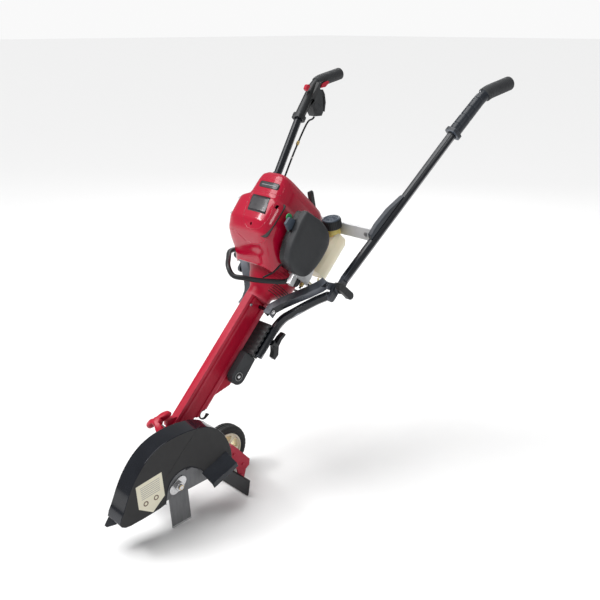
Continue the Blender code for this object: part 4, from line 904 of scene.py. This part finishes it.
def make_cables():
    """Cables, hose and lines along their real routes, with their ties and fittings."""
    local = BEAM.inverted() @ rest_point(0, FOLD[1], FOLD[2])
    for name, (radius, finish, body, places) in CABLES.items():
        if name == "throttle_cable_lower":
            places = tuple((side, local.y, local.z) for side in (-138.6, -136, -133)) + places
        line = smooth_path([beam_point(*place) for place in places], 10)
        tube_piece(name + "_skin", line, radius, finish, body, (name,))
    places = ((-270, 778, 708), (-269, 770, 703), (-260, 744, 698), (-246, 709, 672), (-234, 668, 627),
              (-221, 628, 580), (-202, 572, 512), (-179, 508, 438), (-163, 472, 406),
              (-147, FOLD[1] + 14, FOLD[2] + 17), (-144.5, FOLD[1] + 3, FOLD[2] + 3.5),
              (-142, FOLD[1], FOLD[2]), (-139, FOLD[1], FOLD[2]))
    line = smooth_path([rest_point(*place) for place in places], 10)
    tube_piece("throttle_cable_upper_skin", line, 2.6, "black_rubber", "upper_handle",
               ("throttle_cable_upper",))
    for name, index, finish, reach, half in (("cable_tie", 44, "white_tie", 3.5, 2.0),
                                             ("cable_knot", 36, "brass", 4.4, 6.0)):
        place = axis_frame(line[index], line[index + 1] - line[index])
        ring = [(0, -half), (reach * 0.8, -half), (reach, -half * 0.6), (reach, half * 0.6),
                (reach * 0.8, half), (0, half)]
        turned(name, place, ring, 32, finish, "upper_handle")
    vent = [(80, 562.7, 63.1), (74, 555.4, 49.8), (66, 544.1, 41.8), (52, 523, 37.7), (36, 503.3, 40.8)]
    line = smooth_path([beam_point(*place) for place in vent], 10)
    tube_piece("vent_tube", line, 2.3, "black_rubber")
    place = axis_frame(beam_point(*vent[0]), beam_point(*vent[1]) - beam_point(*vent[0]))
    connector = [(0, -4), (3.4, -4), (3.4, 3), (3.0, 6), (0, 6)]
    turned("vent_connector", place, connector, 32, "bright_steel")
    for name, place_at, reach in (("hose_clamp_a", (83.6, 524, 11), 7.2),
                                  ("hose_clamp_b", (-79, 555.5, 37), 7.0)):
        centre = beam_point(*place_at)
        place = axis_frame(centre, beam_point(92, 530, 12) - centre if place_at[0] > 0 else (0.2, 0.6, 0.7))
        ring = [(reach, -3), (reach, 2), (reach - 1, 2.4), (reach - 1, -3)]
        turned(name, place, ring, 40, "black_rubber", bevel=0.3)


# ---------------------------------------------------------------- engine

def make_clutch_skin():
    """Flared housing with its louvres and stiffening ribs."""
    low = 462.4
    outer = ((low, 31, -12), (470, 31, -12.2), (478, 31.4, -12.7), (483, 33.8, -14.4), (488, 38, -17),
             (494, 44.4, -19.7), (500, 50, -21.7), (508, 54.6, -21.6), (520, 59, -20), (533, 64, -14),
             (545, 66, -6), (547, 66, -6))
    inner = ((547, 63.5, -6), (533, 61.5, -14), (520, 56.5, -20), (500, 47.5, -22), (488, 35.5, -17),
             (478, 28.5, -12.5), (low + 6, 28.5, -12), (low + 6, 9, 0), (low, 9, 0))
    rings = []
    for along, radius, centre in outer + inner:
        rings.append([beam_point(side, along, centre + across) for across, side in circle(radius, 72)])
    bm = bmesh.new()
    add_rings(bm, rings, closed=True)
    add_piece("clutch_skin", bm, "red_paint", "root", ("clutch_housing",))
    louvres = ((489.5, 39.8, -17.7), (494.5, 45.0, -19.9), (499.5, 49.7, -21.6), (504.5, 52.8, -21.7),
               (509.5, 55.3, -21.4))
    for index, (along, radius, centre) in enumerate(louvres):
        # The black line along each louvre is painted shade, standing in for the dark opening.
        slit = [beam_point(v, along, centre + u) for u, v in arc((0, 0), radius, 58, 132, 30)]
        tube_piece("louvre_slit_shade_%d" % index, slit, 1.0, "deep_black")
        lip = [beam_point(v, along + 1.9, centre + u) for u, v in arc((0, 0), radius + 1.4, 56, 134, 30)]
        tube_piece("louvre_lip_%d" % index, lip, 1.1, "red_paint")
    for rib in range(4):
        along = 522 + 7 * rib
        radius = (59.6, 62.6, 65.2, 66.2)[rib]
        centre = (-19.3, -16.4, -12.2, -8.0)[rib]
        line = [beam_point(v, along, centre + u) for u, v in arc((0, 0), radius, 30, 125, 40)]
        tube_piece("clutch_rib_%d" % rib, line, 1.0, "red_paint")
    flange = [beam_point(v, 547, -6 + u) for u, v in circle(66, 90)]
    tube_piece("clutch_rim", flange, 1.3, "red_paint", closed=True)


COVER_RINGS = (
    (520, 66, -60, 68, 0), (541, 71, -60, 91, 0), (556, 75, -60, 118, 0), (570, 77, -48.5, 137, 0),
    (595, 78, -48.5, 152, 0), (642, 78, -48.5, 156, 0), (650, 75, -48.5, 156, 0), (661, 59, -48.5, 152, 6),
    (700, 53, -43, 154, 4), (715, 47, -32, 154, 3), (723, 38, -22, 147, 3))


def cover_shape(along):
    """Half width, rear edge, front edge and sideways shift of the cover at a distance along the beam."""
    for first, second in zip(COVER_RINGS, COVER_RINGS[1:]):
        if along <= second[0]:
            t = max(0.0, (along - first[0]) / (second[0] - first[0]))
            return [a + (b - a) * t for a, b in zip(first[1:], second[1:])]
    return list(COVER_RINGS[-1][1:])


def cover_rings(inset, count=96):
    """Closely spaced rings of the cover with its creases rounded."""
    rings = []
    along = COVER_START
    while along <= COVER_END - inset:
        samples = [cover_shape(min(COVER_END, max(COVER_START, along + shift)))
                   for shift in (-3.5, -2, 0, 2, 3.5)]
        half, low, high, lean = [sum(column) / len(samples) for column in zip(*samples)]
        shape = superellipse(half - inset, low + inset, high - inset, count, 5)
        rings.append([beam_point(side + lean, along, across) for side, across in shape])
        along += 2.5
    return rings


def make_cover():
    """Glossy engine cover with its creases, vents, plain dark panels and screws, and a black sheet inside as
    painted shade behind its openings.
    """
    outer = cover_rings(0.0)
    inner = cover_rings(COVER_WALL)
    bm = bmesh.new()
    outer_made = add_rings(bm, outer, closed=False)
    inner_made = add_rings(bm, inner, closed=False)
    bm.faces.new(outer_made[-1])
    bm.faces.new(inner_made[-1])
    for index in range(len(outer_made[0])):
        following = (index + 1) % len(outer_made[0])
        bm.faces.new([outer_made[0][index], outer_made[0][following], inner_made[0][following],
                      inner_made[0][index]])
    cover = add_piece("cover_skin", bm, "red_gloss", "root", ("engine_cover",), angle=50)
    tools = [plate(BEAM_SIDE, [(590, 44), (624, 44), (624, 80), (590, 80)], 40, 90),
             plate(BEAM_SIDE, [(590, 45), (630, 45), (630, 75), (590, 75)], -90, -71),
             revolve(BEAM_ACROSS, [(0, 705), (4, 705), (4, 730), (0, 730)], 32),
             plate(BEAM_SIDE, [(510, -80), (548, -80), (548, 50), (510, 50)], -95, 95)]
    hole = BEAM @ Matrix.Translation((21, 585, 0))
    tools.append(revolve(hole, [(0, 120), (3.4, 120), (3.4, 170), (0, 170)], 32))
    window = rounded_box((65.5, 641), 3.0, 5.0, 1.0)
    tools.append(plate(BEAM, window, 120, 170))
    cut_with(cover, tools)
    cover.data.set_sharp_from_angle(angle=math.radians(50))
    tree = BVHTree.FromPolygons([tuple(v.co) for v in cover.data.vertices],
                                [tuple(p.vertices) for p in cover.data.polygons])
    inward = -(BEAM.to_3x3() @ Vector((0, 0, 1))).normalized()

    def on_cover(side, along, lift=0.0):
        hit = tree.ray_cast(beam_point(side, along, 260) * MM, inward)
        if hit[0] is None:
            return None
        return hit[0] / MM + hit[1] * lift

    def crease(name, places, radius=0.9, closed=False, steps=7):
        """Raised line on the cover's front."""
        path = smooth_path([Vector((side, along, 0)) for side, along in places], steps)
        line = [on_cover(point.x, point.y, -0.25 * radius) for point in path]
        tube_piece(name, [point for point in line if point], radius, "red_gloss", closed=closed)

    def panel(name, outline, finish, lift=0.25):
        """Thin panel that follows the cover's front."""
        sheet = bmesh.new()
        sheet.faces.new([sheet.verts.new((u, v, 0)) for u, v in outline])
        for normal, parts in (((1, 0, 0), 14), ((0, 1, 0), 6)):
            values = [u * normal[0] + v * normal[1] for u, v in outline]
            low, high = min(values), max(values)
            for step in range(1, parts):
                cut_at = Vector(normal) * (low + (high - low) * step / parts)
                geometry = sheet.verts[:] + sheet.edges[:] + sheet.faces[:]
                bmesh.ops.bisect_plane(sheet, geom=geometry, plane_co=cut_at, plane_no=normal)
        for vert in sheet.verts:
            point = on_cover(vert.co.x, vert.co.y, lift)
            vert.co = point if point else beam_point(vert.co.x, vert.co.y, 150)
        made = add_piece(name, sheet, finish, "root")
        thick = made.modifiers.new("thickness", "SOLIDIFY")
        thick.thickness = 0.3 * MM
        thick.offset = 0.0
        return made

    panel("cover_badge", rounded_box((13, 686), 32, 8.0, 5, lean=-1.0), "label_black")
    panel("cover_label", rounded_box((18, 634), 30, 21, 1.5, lean=-5), "label_black")
    panel("cover_badge_line", rounded_box((13, 686), 24, 0.7, 0.6), "label_grey", lift=0.5)
    crease("crease_hump", [(-44, 664), (-20, 666), (20, 668), (48, 668), (54, 672)])
    crease("crease_band", [(-34, 676), (-26, 699), (0, 703), (36, 703), (50, 696), (54, 680)], 0.7)
    crease("crease_window", [(-22, 660), (-18, 625), (-8, 592), (6, 578), (26, 575), (48, 580), (62, 597),
                             (63, 625), (58, 655)])
    crease("crease_lower", [(-60, 566), (-30, 562), (0, 553), (30, 552), (56, 558), (70, 570)], 1.1)
    for index, (side, along) in enumerate(((-62, 600), (-60, 640))):
        point = on_cover(side, along, 0.1)
        if point:
            screw = [(0, -1), (3.6, -1), (3.4, 0.5), (0, 0.7)]
            turned("cover_screw_%d" % index, axis_frame(point, -inward), screw, 32, "thread_grey")
    # Black sheet inside the cover is painted shade, seen through the cover's hole and window.
    flat("cover_inner_shade", BEAM, rounded_box((20, 612), 56, 45, 8), 128, 130, "deep_black")


AIR_CLEANER_OUTLINE = [(662, 108), (637, 108), (612, 103), (582, 97), (561, 88), (545, 74), (537, 46),
                       (542, 17), (553, 2), (573, -6), (604, -11), (640, -9), (660, 3), (670, 20), (674, 49),
                       (670, 80), (667, 98)]


def make_intake_trim():
    """Air-cleaner cover with its screw, carburettor with fittings, choke and primer."""
    middle = (602, 56)
    outline = closed_curve(AIR_CLEANER_OUTLINE, 5)
    rings = []
    for factor, height in ((0.985, 0.0), (0.998, 0.8), (1.0, 2.5), (1.0, 12.0), (0.993, 14.6), (0.975, 16.8),
                           (0.95, 18.4), (0.91, 19.7), (0.84, 21.0), (0.6, 21.4), (0.2, 21.5)):
        rings.append([beam_point(AIR_CLEANER_BASE + height, along, across)
                      for along, across in scaled(outline, factor, middle)])
    add_piece("air_cleaner_skin", loft(rings), "charcoal_plastic", "root", ("air_cleaner_cover",), angle=60)
    flat("air_cleaner_base", BEAM_SIDE, scaled(outline, 0.96, middle), 89.0, AIR_CLEANER_BASE + 0.2,
         "black_plastic", bevel=1.2)
    dress("carburettor", 1.0, 3)
    dress("primer_bulb", 0.4, 2, angle=60)
    dress("choke_lever", 1.2, 3, "slate_light")
    green = capsule((612, 98), 5, (634, 121), 8, 16)
    flat("choke_green", BEAM_SIDE, green, 92.6, 95.4, "green_plastic", bevel=0.8)
    place = BEAM_ACROSS @ Matrix.Translation((-22, 96, 0))
    flat("carburettor_nut", place, circle(5.2, 6), 531, 540, "brass", bevel=0.6)
    stud = [(0, 526), (2.6, 526), (2.6, 533), (0, 533)]
    turned("carburettor_stud", place, stud, 32, "deep_black")
    tube = [beam_point(96, 546, -44), beam_point(96, 534, -46), beam_point(96, 522, -47)]
    tube_piece("carburettor_drain", smooth_path(tube, 6), 3.0, "pale_tube")
    for index, (along, across) in enumerate(((596, 50), (596, 72), (620, 72))):
        spot = shifted(BEAM_SIDE, along, across) @ Matrix.Translation((0, 0, 103.6))
        screw = [(0, 0), (3.2, 0), (3.0, 1.4), (0, 1.8)]
        turned("carburettor_screw_%d" % index, spot, screw, 28, "bright_steel")


def make_tank_trim():
    """Tank with its seam and yellow neck, and the ribbed cap."""
    dress("fuel_tank", 4.0, 5, angle=60)
    lean = math.radians(CAP_LEAN)
    direction = Vector((0, -math.sin(lean), math.cos(lean)))
    base = beam_point(85, 708, -12) - direction * 15
    place = axis_frame(base, direction)
    neck = [(14.2, -18), (14.4, -2), (16.5, -1.6), (16.5, -6), (18, -8), (18, -18)]
    turned("tank_neck", place, neck, 64, "yellow_neck", bevel=0.4)

    def knurl(row, index):
        return -0.9 if 2 <= row <= 3 and index % 4 < 2 else 0.0

    side = [(15, 0), (22.6, 0), (23.5, 1.2), (23.5, 19.5), (22.4, 21.0), (15, 21.0)]
    add_piece("cap_skirt", revolve(place, side, 120, knurl), "black_plastic", "fuel_cap", angle=50)
    top = [(0, 18), (20.8, 18), (21.6, 21), (21.6, 23.2), (20.4, 24.4), (17.0, 24.9), (16.4, 24.0), (0, 24.0)]
    turned("cap_top", place, top, 96, "slate_light", "fuel_cap", ("fuel_cap",))
    for rib in range(12):
        turn = place @ Matrix.Rotation(2 * math.pi * rib / 12, 4, "Z")
        bar = [(6, -0.9), (16, -1.3), (16, 1.3), (6, 0.9)]
        flat("cap_rib_%d" % rib, turn, bar, 23.8, 24.8, "slate_light", "fuel_cap", bevel=0.3)


def make_recoil_trim():
    """Starter handle with its rope."""
    dress("recoil_handle", 2.0, 4)
    rope = [beam_point(0, 700, 0), beam_point(0, 722, 0.4), beam_point(0, 742, 0)]
    tube_piece("starter_rope", smooth_path(rope, 8), 2.4, "black_rubber", "recoil_handle")


def make_the_rest():
    """Skins for every node that has no piece of its own yet."""
    for node in sorted(SLOT_OF):
        if not frame["nodes"][node].hide_render:
            dress(node, 0.3, 1)


# ---------------------------------------------------------------- stage

def make_stage():
    """Pale floor, soft studio lights, and the camera at the shown angle."""
    floor_mesh = bpy.data.meshes.new("floor")
    corners = [(side * FLOOR_REACH, back * FLOOR_REACH, GROUND)
               for side, back in ((-1, -1), (1, -1), (1, 1), (-1, 1))]
    floor_mesh.from_pydata(corners, [], [(0, 1, 2, 3)])
    floor = bpy.data.objects.new("floor", floor_mesh)
    bpy.context.scene.collection.objects.link(floor)
    floor_mesh.materials.append(material("floor_pale", (0.86, 0.86, 0.86), 0.75, depth=0.02, mottle=0.01))

    world = bpy.data.worlds.new("studio")
    bpy.context.scene.world = world
    world.use_nodes = True
    tree = world.node_tree
    sky = tree.nodes["Background"]
    sky.inputs["Color"].default_value = (1.0, 1.0, 1.0, 1)
    rays = tree.nodes.new("ShaderNodeLightPath")
    level = node_of(tree, "ShaderNodeMapRange", **{"To Min": SKY_ON_OBJECT, "To Max": SKY_SEEN})
    tree.links.new(rays.outputs["Is Camera Ray"], level.inputs["Value"])
    tree.links.new(level.outputs["Result"], sky.inputs["Strength"])
    bpy.context.scene.view_settings.view_transform = "Standard"

    sun = bpy.data.lights.new("sun", "SUN")
    sun.energy = 2.5
    sun.angle = math.radians(50)
    sun_lamp = bpy.data.objects.new("sun", sun)
    sun_lamp.rotation_euler = Vector(SUN_DIRECTION).to_track_quat("-Z", "Y").to_euler()
    bpy.context.scene.collection.objects.link(sun_lamp)
    for name, place, target, size, power in (
            ("key", (-1.5, -2.4, 1.5), (0, -0.6, -0.4), 1.1, 34),
            ("side", (2.6, -1.0, 0.9), (0, -0.4, -0.3), 0.9, 9),
            ("rear", (-1.6, 1.8, 1.2), (0, -0.3, -0.3), 1.2, 20)):
        light = bpy.data.lights.new(name, "AREA")
        light.shape = "RECTANGLE"
        light.size = size
        light.size_y = size * 0.5
        light.energy = power
        lamp = bpy.data.objects.new(name, light)
        lamp.location = place
        lamp.rotation_euler = (Vector(target) - Vector(place)).to_track_quat("-Z", "Y").to_euler()
        bpy.context.scene.collection.objects.link(lamp)

    lens = bpy.data.cameras.new("camera")
    lens.lens = CAMERA_LENS
    lens.sensor_width = CAMERA_SENSOR
    lens.clip_start = 0.05
    camera = bpy.data.objects.new("camera", lens)
    bpy.context.scene.collection.objects.link(camera)
    camera.location = CAMERA_PLACE
    camera.rotation_euler = (math.radians(90.0 - CAMERA_PITCH_DOWN), 0.0, math.radians(CAMERA_AZIMUTH))
    bpy.context.scene.camera = camera


for make in (make_guard, make_cutter, make_beam_trim, make_wheel_trim, make_mount_trim, make_tubes,
             make_throttle_trim, make_cables, make_clutch_skin, make_cover, make_intake_trim, make_tank_trim,
             make_recoil_trim, make_the_rest, make_stage):
    make()
